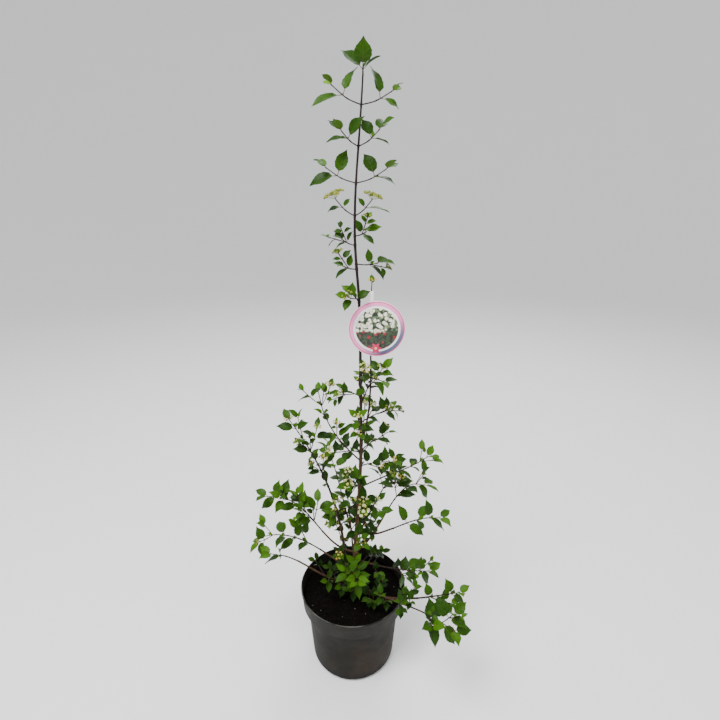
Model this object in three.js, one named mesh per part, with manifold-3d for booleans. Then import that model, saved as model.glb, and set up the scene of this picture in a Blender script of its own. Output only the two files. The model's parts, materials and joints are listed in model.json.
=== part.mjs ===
// A young snowball viburnum grown up one leader in a round nursery pot, with a plain hang label.
// Millimetres, +Z up, -Y is the front. The origin is the centre of the pot's flat underside.
import * as THREE from "three";
import Module from "manifold-3d";

const wasm = await Module();
wasm.setup();
const { Manifold, Mesh: SolidMesh } = wasm;

// ---------------------------------------------------------------- driving sizes

const GAP = 0.3; // clear space between neighbouring pieces

const POT = {
  height: 212,
  rim: 132, // outer radius at the lip
  lip: 5, // height of the lip's band
  collar: 45, // depth of the wide collar under the rim
  collarTop: 130.4, // outer radius of the collar under the lip
  collarFoot: 127.5,
  body: 116, // outer radius just under the collar
  foot: 105.5, // outer radius just above the rounded foot
  base: 94, // radius of the flat underside
  footRise: 14,
  wall: 2.4,
  floor: 4,
  slots: 8, // drain slots round the foot
  slotWidth: 17,
  slotHeight: 8,
  slotDepth: 12,
  sides: 32,
};
const SOIL_LEVEL = 187;

// The leader's line: height, how far to the right, how far to the back, radius.
const LEADER_LINE = [
  [SOIL_LEVEL + GAP, 3, 0, 6.4],
  [283, 5.5, 1, 5.0],
  [404, 11, 3, 4.1],
  [517, 18, 4, 3.6],
  [622, 20, 3, 3.3],
  [801, 19, 1, 2.9],
  [944, 16, 0, 2.6],
  [1063, 8, 0, 2.3],
  [1166, 10.5, 1, 1.9],
  [1297, 20, 1, 1.5],
  [1343, 23, 0, 1.2],
];
const LEADER = { flare: 5.5, flareHeight: 13, sides: 8, step: 56 };

const LABEL = {
  radius: 59,
  thick: 1.2,
  right: 53, // of the disc's centre
  height: 884,
  tongue: 9, // width of the strap
  hoopInner: 3.2,
  hoopOuter: 4.6,
  hoopFoot: 954,
  hoopTall: 9,
  sides: 36,
};

// A leaf is ovate on a short stalk, folded along the midrib and curved down to its tip.
const LEAF = {
  broad: 0.46, // width, as a share of its whole length
  sag: 44, // degrees that it curves down over its length
  fold: 0.22, // rise of the edge for each millimetre from the midrib
  keel: 0.02, // thickness at the midrib, as a share of the length
  least: 0.9, // least thickness at the midrib
  sunk: 0.1, // how far the stalk's root goes through the twig's middle
  outline: [[0.4, 1], [0.72, 0.72]], // corners from root to tip: share of the length and of the width
  plain: [[0.5, 1]], // the same for a leaf shorter than `small`
  small: 40,
  thickest: 0.4, // place along the midrib where it is thickest
};
const CYME = { lobes: 5, radius: 12, notch: 0.6, tall: 7, crown: 11 };
const SPACE = { margin: 0.45, tries: 6 }; // clearance, and places tried for a blocked leaf

// Side shoots on the leader. Heights are the node's, turn is the azimuth (0 right, 90 back),
// reach and rise run from the leader to the shoot's tip. Leaves: the pair at the middle, one
// upright and one hanging, and the pair at the tip.
const TIERS = [
  { name: "tier_a_left", height: 1297, turn: 184, reach: 52, rise: 30, upright: 64, hanging: 60, tip: 30 },
  { name: "tier_a_right", height: 1297, turn: 4, reach: 55, rise: 22, upright: 64, hanging: 40, tip: 30 },
  { name: "tier_b_left", height: 1229, turn: 196, reach: 31, rise: 24, upright: 54, hanging: 40, tip: 40 },
  { name: "tier_b_right", height: 1229, turn: 16, reach: 39, rise: 28, upright: 46, hanging: 44, tip: 42,
    broad: 0.56 },
  { name: "tier_c_left", height: 1166, turn: 176, reach: 56, rise: 27, upright: 50, hanging: 58, tip: 34 },
  { name: "tier_c_right", height: 1166, turn: -6, reach: 56, rise: 24, upright: 46, hanging: 44, tip: 38,
    broad: 0.54 },
  { name: "tier_d_left", height: 1107, turn: 190, reach: 36, rise: 30, upright: 26, hanging: 36, cyme: 1.75 },
  { name: "tier_d_right", height: 1107, turn: 8, reach: 32, rise: 28, upright: 28, hanging: 50, cyme: 1.75 },
  { name: "tier_e_left", height: 1052, turn: 160, reach: 26, rise: 10, upright: 30, hanging: 32, tip: 28 },
  { name: "tier_e_right", height: 1070, turn: -30, reach: 24, rise: 8, upright: 32, hanging: 38, tip: 34 },
  { name: "tier_f_left", height: 1006, turn: 200, reach: 26, rise: 6, upright: 30, hanging: 40, tip: 28 },
  { name: "tier_f_right", height: 1016, turn: 14, reach: 42, rise: 0, upright: 32, hanging: 44, tip: 40 },
];

// The leaves at the leader's tip.
const TUFT = {
  nodes: [0, 6, 14], // heights above the leader's tip
  radius: 1.2,
  tip: 54,
  broad: 0.64,
  upright: 48,
  hanging: 44,
  uprightSplay: 54,
  hangingSplay: 52,
};

// Leafy shoots that stand on the leader lower down. Bare is the leafless share of the shoot.
const SHOOT = {
  leaf: 38, // length
  spacing: 25, // between the pairs of leaves
  bare: 0.15,
  branch: 0.22, // chance of a side shoot in place of a leaf
  twig: 34, // length of a side shoot
  cyme: 0.55, // chance of a cyme at a tip
  rise: 34,
  end: 14,
  radius: 1.3,
};
const SHOOTS = [
  { name: "shoot_g_front", height: 940, turn: 232, reach: 24, tip: 22, leaf: 38, broad: 0.54, cyme: 0.9 },
  { name: "shoot_h_right", height: 776, turn: -38, reach: 60, tip: 4, leaf: 46 },
  { name: "shoot_i_left", height: 728, turn: 192, reach: 38, tip: 22, cyme: 1 },
  { name: "shoot_i_back", height: 712, turn: 62, reach: 66, tip: 40 },
  { name: "shoot_j_right", height: 664, turn: 24, reach: 76, tip: 22, leaf: 42, branch: 0.16 },
  { name: "shoot_j_front", height: 650, turn: -98, reach: 44, tip: 20, leaf: 42, cyme: 1 },
  { name: "shoot_k_left", height: 588, turn: 202, reach: 74, tip: 16, leaf: 40 },
  { name: "shoot_k_back", height: 590, turn: 46, reach: 92, tip: 14, leaf: 42 },
  { name: "shoot_l_right", height: 552, turn: -26, reach: 84, tip: 34, leaf: 42, cyme: 1 },
  { name: "shoot_l_front", height: 522, turn: -116, reach: 58, tip: 14, leaf: 42, cyme: 1 },
  { name: "shoot_m_right", height: 466, turn: -44, reach: 66, tip: -2, leaf: 43 },
  { name: "shoot_m_left", height: 440, turn: 214, reach: 66, tip: 14, leaf: 42 },
  { name: "shoot_n_front", height: 372, turn: -78, reach: 46, tip: 14, leaf: 44 },
  { name: "front_star", height: 226, turn: -84, reach: 54, tip: 54, leaf: 48, rise: 46, end: 24, spacing: 18,
    branch: 0.5, twig: 40, cyme: 0, broad: 0.4 },
  { name: "left_high", height: 566, turn: 181, reach: 92, tip: 172, rise: 44, end: 84, spacing: 40, twig: 60,
    branch: 0.22, radius: 1.8, cyme: 0.3 },
  { name: "back_high", height: 505, turn: 84, reach: 120, tip: 150, rise: 42, end: 50, spacing: 34, twig: 44,
    branch: 0.14, radius: 1.9, cyme: 0.3 },
  { name: "right_high", height: 494, turn: 0, reach: 156, tip: 82, rise: 34, end: 40, bare: 0.4, spacing: 30,
    leaf: 46, radius: 1.8, cyme: 0 },
];

// Long boughs. Foot is the node's height on the leader, or a place in the soil [right, back];
// turn, reach and tip place the far end, rise and end are its slopes there in degrees; bare is
// the share of the line that carries no leaves and is a limb of its own.
const BOUGH = { radius: 2.3, leaf: 52, spacing: 33, branch: 0.26, twig: 50, cyme: 0.1 };
const BOUGHS = [
  { name: "left_arch", soil: [-17, 6], turn: 180, reach: 139, tip: 672, rise: 91, end: 58, bare: 0.56,
    radius: 3.6, leaf: 44, cyme: 0.5, branch: 0.26, twig: 64, seed: 245 },
  { name: "left_low", foot: 306, turn: 195, reach: 196, tip: 508, rise: 22, end: 6, bare: 0.38, branch: 0.32,
    spacing: 30, cyme: 0, seed: 181 },
  { name: "left_mid", foot: 246, turn: 184, reach: 216, tip: 368, rise: 38, end: -14, bare: 0.4, seed: 226 },
  { name: "left_rim", foot: 214, turn: 193, reach: 198, tip: 342, rise: 6, end: 14, bare: 0.7, leaf: 56,
    cyme: 0, seed: 251 },
  { name: "back_left", foot: 330, turn: 112, reach: 190, tip: 500, rise: 34, end: 18, bare: 0.44, seed: 238 },
  { name: "back_mid", foot: 268, turn: 97, reach: 196, tip: 392, rise: 24, end: 4, bare: 0.5, branch: 0.2,
    seed: 107 },
  { name: "back_right", foot: 350, turn: 52, reach: 186, tip: 446, rise: 30, end: 10, bare: 0.46, seed: 254 },
  { name: "right_low", foot: 304, turn: 12, reach: 178, tip: 478, rise: 34, end: -28, bare: 0.46, seed: 253 },
  { name: "right_mid", foot: 362, turn: -15, reach: 206, tip: 452, rise: 0, end: 6, bare: 0.46, seed: 263 },
  { name: "right_flat", foot: 286, turn: -9, reach: 188, tip: 276, rise: -16, end: 8, bare: 0.34, broad: 0.54,
    cyme: 0, seed: 134 },
  { name: "right_long", foot: 199, turn: -29, reach: 272, tip: 314, rise: -6, end: 34, bare: 0.62,
    radius: 2.6, leaf: 38, broad: 0.54, spacing: 32, branch: 0.14, cyme: 0, seed: 165 },
  { name: "right_hang", foot: 214, turn: -39, reach: 284, tip: 256, rise: -2, end: -8, bare: 0.6, leaf: 58,
    broad: 0.54, spacing: 36, branch: 0.14, cyme: 0, seed: 287 },
  { name: "riser", foot: 606, turn: -2, reach: 42, tip: 980, rise: 74, end: 86, bare: 0.88, radius: 1.9,
    leaf: 26, spacing: 20, branch: 0.3, twig: 24, cyme: 0.9, seed: 116 },
];

// ---------------------------------------------------------------- small helpers

const UP = new THREE.Vector3(0, 0, 1);
const FRONT = new THREE.Vector3(0, -1, 0);
const rad = THREE.MathUtils.degToRad;
const lerp = THREE.MathUtils.lerp;
const point = (x, y, z) => new THREE.Vector3(x, y, z);
const aim = (turn, slope = 0) => point(
  Math.cos(rad(turn)) * Math.cos(rad(slope)),
  Math.sin(rad(turn)) * Math.cos(rad(slope)),
  Math.sin(rad(slope)),
);
const across = (vector, axis) => vector.clone().addScaledVector(axis, -vector.dot(axis)).normalize();

function seeded(seed) {
  let state = seed * 7919 + 13;
  return (low = 0, high = 1) => {
    state = (state * 48271) % 2147483647;
    return lerp(low, high, state / 2147483647);
  };
}

// Where the leader's middle stands at a height, and its radius there.
function leaderAt(height) {
  const rows = LEADER_LINE;
  let k = 1;
  while (k < rows.length - 1 && height > rows[k][0]) k += 1;
  const share = THREE.MathUtils.clamp((height - rows[k - 1][0]) / (rows[k][0] - rows[k - 1][0]), 0, 1);
  const at = (column) => {
    const before = rows[Math.max(k - 2, 0)][column];
    const a = rows[k - 1][column];
    const b = rows[k][column];
    const after = rows[Math.min(k + 1, rows.length - 1)][column];
    const [m, n] = [(b - before) / 2, (after - a) / 2];
    const [s2, s3] = [share * share, share * share * share];
    return a * (2 * s3 - 3 * s2 + 1) + m * (s3 - 2 * s2 + share) + b * (3 * s2 - 2 * s3) + n * (s3 - s2);
  };
  const foot = rows[0][0];
  const radius = at(3) + LEADER.flare * Math.exp(-(height - foot) / LEADER.flareHeight);
  return { middle: point(at(1), at(2), height), radius };
}

// A limb's line: out of `from` at `rise` degrees and into `to` at `end` degrees.
function limbLine(from, to, rise, end) {
  const reach = from.distanceTo(to) * 0.36;
  const turn = THREE.MathUtils.radToDeg(Math.atan2(to.y - from.y, to.x - from.x));
  return (t) => {
    const [a, b, c, d] = [(1 - t) ** 3, 3 * t * (1 - t) ** 2, 3 * t * t * (1 - t), t ** 3];
    const start = from.clone().addScaledVector(aim(turn, rise), reach);
    const finish = to.clone().addScaledVector(aim(turn, end), -reach);
    return point(0, 0, 0).addScaledVector(from, a).addScaledVector(start, b)
      .addScaledVector(finish, c).addScaledVector(to, d);
  };
}

// Points along a line from share `a` to share `b`, about `spacing` apart.
function stations(line, a, b, spacing) {
  let length = 0;
  for (let k = 0; k < 24; k += 1) {
    length += line(lerp(a, b, k / 24)).distanceTo(line(lerp(a, b, (k + 1) / 24)));
  }
  const count = Math.max(1, Math.round(length / spacing));
  return Array.from({ length: count + 1 }, (_, k) => line(lerp(a, b, k / count)));
}

// ---------------------------------------------------------------- closed shapes

// A tube of flat faces round a line, closed by flat ends. `start` is the first end's own heading.
function tube(points, radii, sides, start = null) {
  const corners = [];
  const faces = [];
  let normal = null;
  points.forEach((middle, k) => {
    const before = points[Math.max(k - 1, 0)];
    const after = points[Math.min(k + 1, points.length - 1)];
    const along = (k === 0 && start ? start : after.clone().sub(before)).clone().normalize();
    normal = across(normal ?? (Math.abs(along.z) > 0.8 ? point(1, 0, 0) : UP), along);
    const side = along.clone().cross(normal);
    for (let j = 0; j < sides; j += 1) {
      const angle = (2 * Math.PI * j) / sides;
      corners.push(middle.clone().addScaledVector(normal, radii[k] * Math.cos(angle))
        .addScaledVector(side, radii[k] * Math.sin(angle)));
    }
  });
  for (let k = 0; k < points.length - 1; k += 1) {
    for (let j = 0; j < sides; j += 1) {
      const [a, b] = [k * sides + j, k * sides + ((j + 1) % sides)];
      faces.push([a, b, b + sides], [a, b + sides, a + sides]);
    }
  }
  const last = (points.length - 1) * sides;
  for (let j = 1; j < sides - 1; j += 1) {
    faces.push([0, j + 1, j], [last, last + j, last + j + 1]);
  }
  return { corners, faces };
}

// A leaf's own measure: share of length t, distance from the midrib, height off the blade.
function leafPoint(leaf, t, off, lift) {
  const sag = rad(LEAF.sag);
  const start = 0.4 * sag;
  const turn = start - sag * t;
  const bend = leaf.length / sag; // radius of the midrib's arc
  const side = leaf.face.clone().cross(leaf.along);
  return leaf.root.clone()
    .addScaledVector(leaf.along, bend * (Math.sin(start) - Math.sin(turn)) - lift * Math.sin(turn))
    .addScaledVector(leaf.face, bend * (Math.cos(turn) - Math.cos(start)) + lift * Math.cos(turn))
    .addScaledVector(side, off);
}

// A blade whose outline is drawn to the midrib's thickest points, above and below.
function leafBody(leaf, grow = 0) {
  const keel = Math.max(LEAF.keel * leaf.length, LEAF.least) / 2 + grow;
  const half = (leaf.broad * leaf.length) / 2 + grow;
  const outline = leaf.length < LEAF.small ? LEAF.plain : LEAF.outline;
  const edge = (hand) => ([t, share]) => leafPoint(leaf, t, hand * half * share, half * share * LEAF.fold);
  const rim = [
    leafPoint(leaf, -LEAF.sunk / leaf.length, 0, 0), ...outline.map(edge(-1)),
    leafPoint(leaf, 1 + grow / leaf.length, 0, 0), ...outline.map(edge(1)).reverse(),
  ];
  const count = rim.length;
  const thick = [keel, -keel].map((lift) => leafPoint(leaf, LEAF.thickest, 0, lift));
  const faces = rim.flatMap((_, k) => [[k, (k + 1) % count, count], [(k + 1) % count, k, count + 1]]);
  return { corners: [...rim, ...thick], faces };
}

// A flat-topped cyme of buds, as a lobed head on a short cone.
function cymeBody(cyme, grow = 0) {
  const { lobes, radius, notch, tall, crown } = CYME;
  const side = across(Math.abs(cyme.along.z) > 0.8 ? point(1, 0, 0) : UP, cyme.along);
  const other = cyme.along.clone().cross(side);
  const place = (out, up, angle) => cyme.root.clone().addScaledVector(cyme.along, up * cyme.size)
    .addScaledVector(side, out * cyme.size * Math.cos(angle))
    .addScaledVector(other, out * cyme.size * Math.sin(angle));
  const corners = [place(0, -1, 0), place(0, crown + grow, 0)];
  for (let k = 0; k < lobes * 2; k += 1) {
    const out = (k % 2 ? notch : 1) * radius + grow;
    corners.push(place(out, tall + (k % 2 ? 1.5 : 0), cyme.roll + (Math.PI * k) / lobes));
  }
  const faces = [];
  for (let k = 0; k < lobes * 2; k += 1) {
    const [a, b] = [2 + k, 2 + ((k + 1) % (lobes * 2))];
    faces.push([1, a, b], [0, b, a]);
  }
  return { corners, faces };
}

// ---------------------------------------------------------------- keeping clear

const placed = []; // every body that a later twig, leaf or cyme keeps clear of
let jointCount = 0;

function bodyOf(shape, mass, joints) {
  const box = new THREE.Box3().setFromPoints(shape.corners);
  const edges = new Map();
  shape.faces.forEach((face) => face.forEach((a, k) => {
    const b = face[(k + 1) % 3];
    edges.set(Math.min(a, b) * 4096 + Math.max(a, b), [shape.corners[a], shape.corners[b]]);
  }));
  const faces = shape.faces.map((face) => face.map((k) => shape.corners[k]));
  return { box, edges: [...edges.values()], faces, mass, joints };
}

function edgeMeetsFace([p, q], [a, b, c]) {
  const way = q.clone().sub(p);
  const [u, w] = [b.clone().sub(a), c.clone().sub(a)];
  const h = way.clone().cross(w);
  const scale = u.dot(h);
  if (Math.abs(scale) < 1e-9) return false;
  const s = p.clone().sub(a);
  const first = s.dot(h) / scale;
  if (first < 0 || first > 1) return false;
  const n = s.cross(u);
  const second = way.dot(n) / scale;
  if (second < 0 || first + second > 1) return false;
  const t = w.dot(n) / scale;
  return t >= 0 && t <= 1;
}

const meets = (a, b) =>
  a.edges.some((edge) => b.faces.some((face) => edgeMeetsFace(edge, face))) ||
  b.edges.some((edge) => a.faces.some((face) => edgeMeetsFace(edge, face)));

function inPot({ x, y, z }) {
  const out = Math.hypot(x, y);
  if (out > POT.rim + 2 || z > POT.height + 2) return false;
  return z < SOIL_LEVEL + 1.5 || out > POT.collarFoot - POT.wall - 3;
}

function isFree(body) {
  const potted = body.edges.some(([p, q]) => [0, 0.33, 0.67, 1].some((t) => inPot(p.clone().lerp(q, t))));
  return !potted && !placed.some((other) => other.box.intersectsBox(body.box)
    && !(other.mass === body.mass && other.joints.some((joint) => body.joints.includes(joint)))
    && meets(body, other));
}

function keep(bodies) {
  placed.push(...bodies);
  return true;
}

// A twig's bodies, one to each stretch, a little stouter than the twig.
const stretches = (points, radii, mass, joints, sides) => points.slice(1).map((end, k) =>
  bodyOf(tube([points[k], end], [radii[k] + SPACE.margin, radii[k + 1] + SPACE.margin], sides), mass,
    [joints[k], joints[k + 1]]));

// ---------------------------------------------------------------- growing

function growLeaf(mass, joint, root, along, out, plan) {
  const { random } = mass;
  const light = UP.clone().addScaledVector(mass.outward, 0.3);
  light.addScaledVector(FRONT, out.z > 0.4 ? 0.9 : 0.35);
  light.add(point(random(-0.3, 0.3), random(-0.3, 0.3), 0));
  for (let k = 0; k < SPACE.tries; k += 1) {
    const splay = rad(plan.splay + (k ? random(-28, 28) : random(-6, 6)));
    const swing = rad(k ? random(-50, 50) : random(-10, 10));
    const turned = out.clone().applyAxisAngle(along, swing);
    const way = along.clone().multiplyScalar(Math.cos(splay)).addScaledVector(turned, Math.sin(splay));
    way.z += plan.lift;
    way.normalize();
    const length = plan.length * random(0.88, 1.1) * (k > 3 ? 0.8 : 1);
    const leaf = { root, along: way, face: across(light, way), length, broad: plan.broad };
    const body = bodyOf(leafBody(leaf, SPACE.margin), mass.name, [joint]);
    if (isFree(body)) {
      mass.leaves.push(leaf);
      return keep([body]);
    }
  }
  return false;
}

function growCyme(mass, joint, root, along, size) {
  for (const scale of [1, 0.8]) {
    const way = along.clone().addScaledVector(UP, 0.9).normalize();
    const cyme = { root, along: way, size: size * scale, roll: mass.random(0, 2) };
    const body = bodyOf(cymeBody(cyme, SPACE.margin), mass.name, [joint]);
    if (isFree(body)) {
      mass.cymes.push(cyme);
      return keep([body]);
    }
  }
  return false;
}

// Sets a twig in its mass and keeps its room, unless something is in the way.
function layTwig(mass, points, plan, joint = null, start = null) {
  const radii = points.map((_, k) => lerp(plan.radius, 0.8, k / (points.length - 1)));
  const joints = points.map(() => (jointCount += 1));
  if (joint !== null) joints[0] = joint;
  const bodies = stretches(points, radii, mass.name, joints, 3);
  if (joint !== null && !bodies.every(isFree)) return null;
  keep(bodies);
  const twig = { points, radii, joints, start };
  mass.twigs.push(twig);
  return twig;
}

// Opposite leaves along a twig, each pair a quarter turn from the last. Some axils carry a side
// shoot, and the tip a cyme or a small fresh pair.
function clothe(mass, { points, radii, joints }, plan) {
  const { random } = mass;
  const last = points.length - 1;
  for (let k = 1; k <= last; k += 1) {
    const along = points[Math.min(k + 1, last)].clone().sub(points[k - 1]).normalize();
    const over = across(Math.abs(along.z) > 0.93 ? mass.outward : UP, along);
    const side = along.clone().cross(over);
    const node = k < last ? points[k].clone().lerp(points[k + 1], 0.25)
      : points[k].clone().addScaledVector(along, -2);
    const upright = (last - k) % 2 === 1;
    const grown = lerp(0.8, 1, Math.sin((Math.PI * k) / (last + 1)));
    for (const hand of [1, -1]) {
      const out = (upright ? over : side).clone().multiplyScalar(hand);
      if (k < last && random() < plan.branch) {
        const way = along.clone().multiplyScalar(0.7).addScaledVector(out, 0.75);
        way.addScaledVector(UP, 0.2).normalize();
        const length = plan.twig * random(0.75, 1.15) * lerp(1, 0.65, k / last);
        const count = Math.max(1, Math.round(length / (plan.spacing * 0.72)));
        const arm = Array.from({ length: count + 1 }, (_, j) => node.clone()
          .addScaledVector(way, (length * j) / count).addScaledVector(UP, 0.16 * length * (j / count) ** 2));
        const twig = layTwig(mass, arm, { radius: radii[k] * 0.8 }, joints[k]);
        if (twig) {
          clothe(mass, twig, { ...plan, branch: 0, leaf: plan.leaf * 0.92 });
          continue;
        }
      }
      if (k < last) {
        const splay = upright ? (hand > 0 ? plan.uprightSplay : plan.hangingSplay) : plan.splay;
        const length = (upright ? (hand > 0 ? plan.upright : plan.hanging) : null) ?? plan.leaf;
        growLeaf(mass, joints[k], node, along, out,
          { splay, lift: upright ? 0 : -0.05, length: length * grown, broad: plan.broad });
      } else if (plan.tip !== 0) {
        growLeaf(mass, joints[k], node, along, side.clone().multiplyScalar(hand),
          { splay: 38, lift: 0.05, length: plan.tip ?? plan.leaf * 0.78, broad: plan.broad });
      }
    }
    if (k === last && random() < plan.cyme) {
      growCyme(mass, joints[k], points[k], along, plan.cymeSize ?? random(0.8, 1.15));
    }
  }
}

const FOLIAGE = { splay: 62, uprightSplay: 80, hangingSplay: 54, cyme: 0, branch: 0, broad: LEAF.broad };

// A mass with its stem in place. It is clothed once every stem stands.
function newMass(name, seed, turn, points, plan, start = null) {
  const mass = { name, random: seeded(seed), outward: aim(turn), twigs: [], leaves: [], cymes: [], plan };
  layTwig(mass, points, plan, null, start);
  return mass;
}

// ---------------------------------------------------------------- laying out the plant

function leaderStations() {
  const [foot, top] = [LEADER_LINE[0][0], LEADER_LINE.at(-1)[0]];
  const heights = [foot, foot + 7, foot + 18, foot + 42];
  const count = Math.round((top - heights[3]) / LEADER.step);
  for (let k = 1; k <= count; k += 1) heights.push(lerp(heights[3], top, k / count));
  return heights.map(leaderAt);
}

function boughLine(row) {
  const from = row.soil ? point(row.soil[0], row.soil[1], SOIL_LEVEL + GAP) : leaderAt(row.foot).middle;
  const to = aim(row.turn).multiplyScalar(row.reach).setZ(row.tip);
  return limbLine(from, to, row.rise, row.end);
}

const leader = leaderStations();
const limbs = [{
  name: "trunk", points: leader.map((row) => row.middle), radii: leader.map((row) => row.radius),
  sides: LEADER.sides, start: UP,
}];
const boughs = BOUGHS.map((row) => ({ ...FOLIAGE, ...BOUGH, ...row, line: boughLine(row) }));
for (const row of boughs) {
  const points = stations(row.line, 0, row.bare, 42);
  const radii = points.map((_, k) => lerp(row.radius, row.radius * 0.74, k / (points.length - 1)));
  const start = row.soil ? UP : null;
  limbs.push({ name: `${row.name}_bough`, points, radii, sides: 6, start, onTrunk: !row.soil });
}
for (const limb of limbs) {
  keep(stretches(limb.points, limb.radii, limb.name, limb.points.map(() => 0), 4));
}

// The label's disc, its tongue and its hoop round the riser.
const riser = boughs.find((row) => row.name === "riser");
const hoopShare = (() => {
  let share = 0;
  while (riser.line(share).z < LABEL.hoopFoot + LABEL.hoopTall / 2) share += 0.002;
  return share;
})();
const hoopAt = riser.line(hoopShare);
const labelFront = hoopAt.y - LABEL.hoopOuter - LABEL.thick * 0.4;
const disc = tube(
  [0, 1].map((k) => point(LABEL.right, labelFront + (k ? LABEL.thick + 1 : -1), LABEL.height)),
  [LABEL.radius + 1.5, LABEL.radius + 1.5], 24);
keep([bodyOf(disc, "label", [])]);
const strap = tube(
  [LABEL.height + LABEL.radius - 6, LABEL.hoopFoot + 12].map((height) => hoopAt.clone().setZ(height)),
  [LABEL.hoopOuter + 3, LABEL.hoopOuter + 3], 8);
keep([bodyOf(strap, "label", [])]);

const masses = [];
boughs.forEach((row, k) => {
  const points = stations(row.line, row.bare, 1, row.spacing);
  const limb = limbs[k + 1].points.slice(-2);
  const start = limb[1].clone().sub(limb[0]).normalize();
  const plan = { ...row, radius: row.radius * 0.72, tip: null };
  points[0].addScaledVector(start, GAP);
  masses.push(newMass(`${row.name}_leaves`, row.seed, row.turn, points, plan, start));
});
TIERS.forEach((row, k) => {
  const from = leaderAt(row.height).middle;
  const to = from.clone().addScaledVector(aim(row.turn), row.reach).addScaledVector(UP, row.rise);
  const line = limbLine(from, to, 14, 42);
  masses.push(newMass(row.name, 200 + k, row.turn, [line(0), line(0.46), line(1)],
    { ...FOLIAGE, radius: 1.1, uprightSplay: 88, hangingSplay: 45, tip: 0, ...row, leaf: row.tip,
      cyme: row.cyme ? 1 : 0, cymeSize: row.cyme }));
});
SHOOTS.forEach((row, k) => {
  const plan = { ...FOLIAGE, ...SHOOT, ...row, tip: null };
  const from = leaderAt(row.height).middle;
  const to = from.clone().addScaledVector(aim(row.turn), row.reach).addScaledVector(UP, row.tip);
  const line = limbLine(from, to, plan.rise, plan.end);
  const points = [line(0), ...stations(line, plan.bare, 1, plan.spacing)];
  masses.push(newMass(row.name, 300 + k, row.turn, points, plan));
});
const top = leaderAt(LEADER_LINE.at(-1)[0]).middle.addScaledVector(UP, GAP);
masses.push(newMass("top_tuft", 401, 180, TUFT.nodes.map((up) => top.clone().addScaledVector(UP, up)),
  { ...FOLIAGE, ...TUFT }, UP));
masses.forEach((mass) => clothe(mass, mass.twigs[0], mass.plan));

// ---------------------------------------------------------------- solids

function solidOf({ corners, faces }) {
  const vertProperties = new Float32Array(corners.flatMap((corner) => corner.toArray()));
  return new Manifold(new SolidMesh({ numProp: 3, vertProperties, triVerts: new Uint32Array(faces.flat()) }));
}

function geometrySolid(source) {
  const corners = [];
  const index = new Map();
  const faces = [];
  const places = source.index ? source.toNonIndexed().attributes.position : source.attributes.position;
  for (let k = 0; k < places.count; k += 3) {
    const face = [0, 1, 2].map((j) => {
      const corner = new THREE.Vector3().fromBufferAttribute(places, k + j);
      const key = corner.toArray().map((value) => Math.round(value * 1e4)).join();
      if (!index.has(key)) index.set(key, corners.push(corner) - 1);
      return index.get(key);
    });
    if (new Set(face).size === 3) faces.push(face);
  }
  return solidOf({ corners, faces });
}

const join = (parts) => Manifold.union(parts);

// A mass's main body, without a scrap or a sealed hollow that fusing leaves.
const mainBody = (solid) => solid.decompose().reduce((a, b) => (b.volume() > a.volume() ? b : a));
const limbSolid = ({ points, radii, sides, start }, more = 0) =>
  solidOf(tube(points, radii.map((radius) => radius + more), sides, start));

const group = new THREE.Group();
group.name = "snowball_viburnum";
const finish = (name, color, roughness) =>
  new THREE.MeshStandardMaterial({ name, color, roughness, metalness: 0 });
const finishes = {
  pot: finish("pot_plastic", 0x4b463e, 0.7),
  soil: finish("compost", 0x17110d, 1),
  bark: finish("bark", 0x5a4030, 0.85),
  foliage: finish("foliage", 0x3f7a18, 0.6),
  label: finish("label_card", 0xe9dfe2, 0.45),
};

function addNode(name, solid, kind) {
  const mesh = solid.getMesh();
  const geometry = new THREE.BufferGeometry();
  const places = new Float32Array(mesh.numVert * 3);
  for (let k = 0; k < mesh.numVert; k += 1) {
    for (let j = 0; j < 3; j += 1) places[3 * k + j] = mesh.vertProperties[mesh.numProp * k + j];
  }
  geometry.setAttribute("position", new THREE.BufferAttribute(places, 3));
  geometry.setIndex([...mesh.triVerts]);
  const node = new THREE.Mesh(geometry, finishes[kind].clone());
  node.name = name;
  group.add(node);
}

function lathe(profile, sides) {
  const turned = new THREE.LatheGeometry(profile.map(([out, up]) => new THREE.Vector2(out, up)), sides);
  return geometrySolid(turned.rotateX(Math.PI / 2));
}

function potSolid() {
  const { height, rim, lip, collar, collarTop, collarFoot, body, foot, base, footRise, wall, floor } = POT;
  const under = height - collar;
  const shell = lathe([
    [0, 0], [base, 0], [foot - 2.5, 5.5], [foot, footRise], [body, under - 4], [collarFoot, under],
    [collarTop, height - lip - 1.5], [rim, height - lip], [rim, height], [rim - wall - 0.6, height],
    [collarFoot - wall, under + 4], [body - wall, under], [foot - wall - 2, floor], [0, floor],
  ], POT.sides);
  const slot = (angle) => {
    const box = new THREE.BoxGeometry(POT.slotDepth * 2, POT.slotWidth, POT.slotHeight * 2);
    box.translate(foot, 0, 0).rotateZ(angle);
    return geometrySolid(box);
  };
  const slots = Array.from({ length: POT.slots }, (_, k) => slot((2 * Math.PI * (k + 0.5)) / POT.slots));
  return shell.subtract(join(slots));
}

function soilSolid() {
  const { height, collar, collarFoot, body, foot, wall, floor } = POT;
  const under = height - collar;
  const inner = (radius) => (radius - wall) * Math.cos(Math.PI / POT.sides) - GAP - 0.4;
  return lathe([
    [0, floor + GAP], [inner(foot) - 3, floor + GAP], [inner(body) - 1, under],
    [inner(collarFoot) - 1.2, under + 5.5], [inner(collarFoot), SOIL_LEVEL], [0, SOIL_LEVEL],
  ], POT.sides);
}

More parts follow.
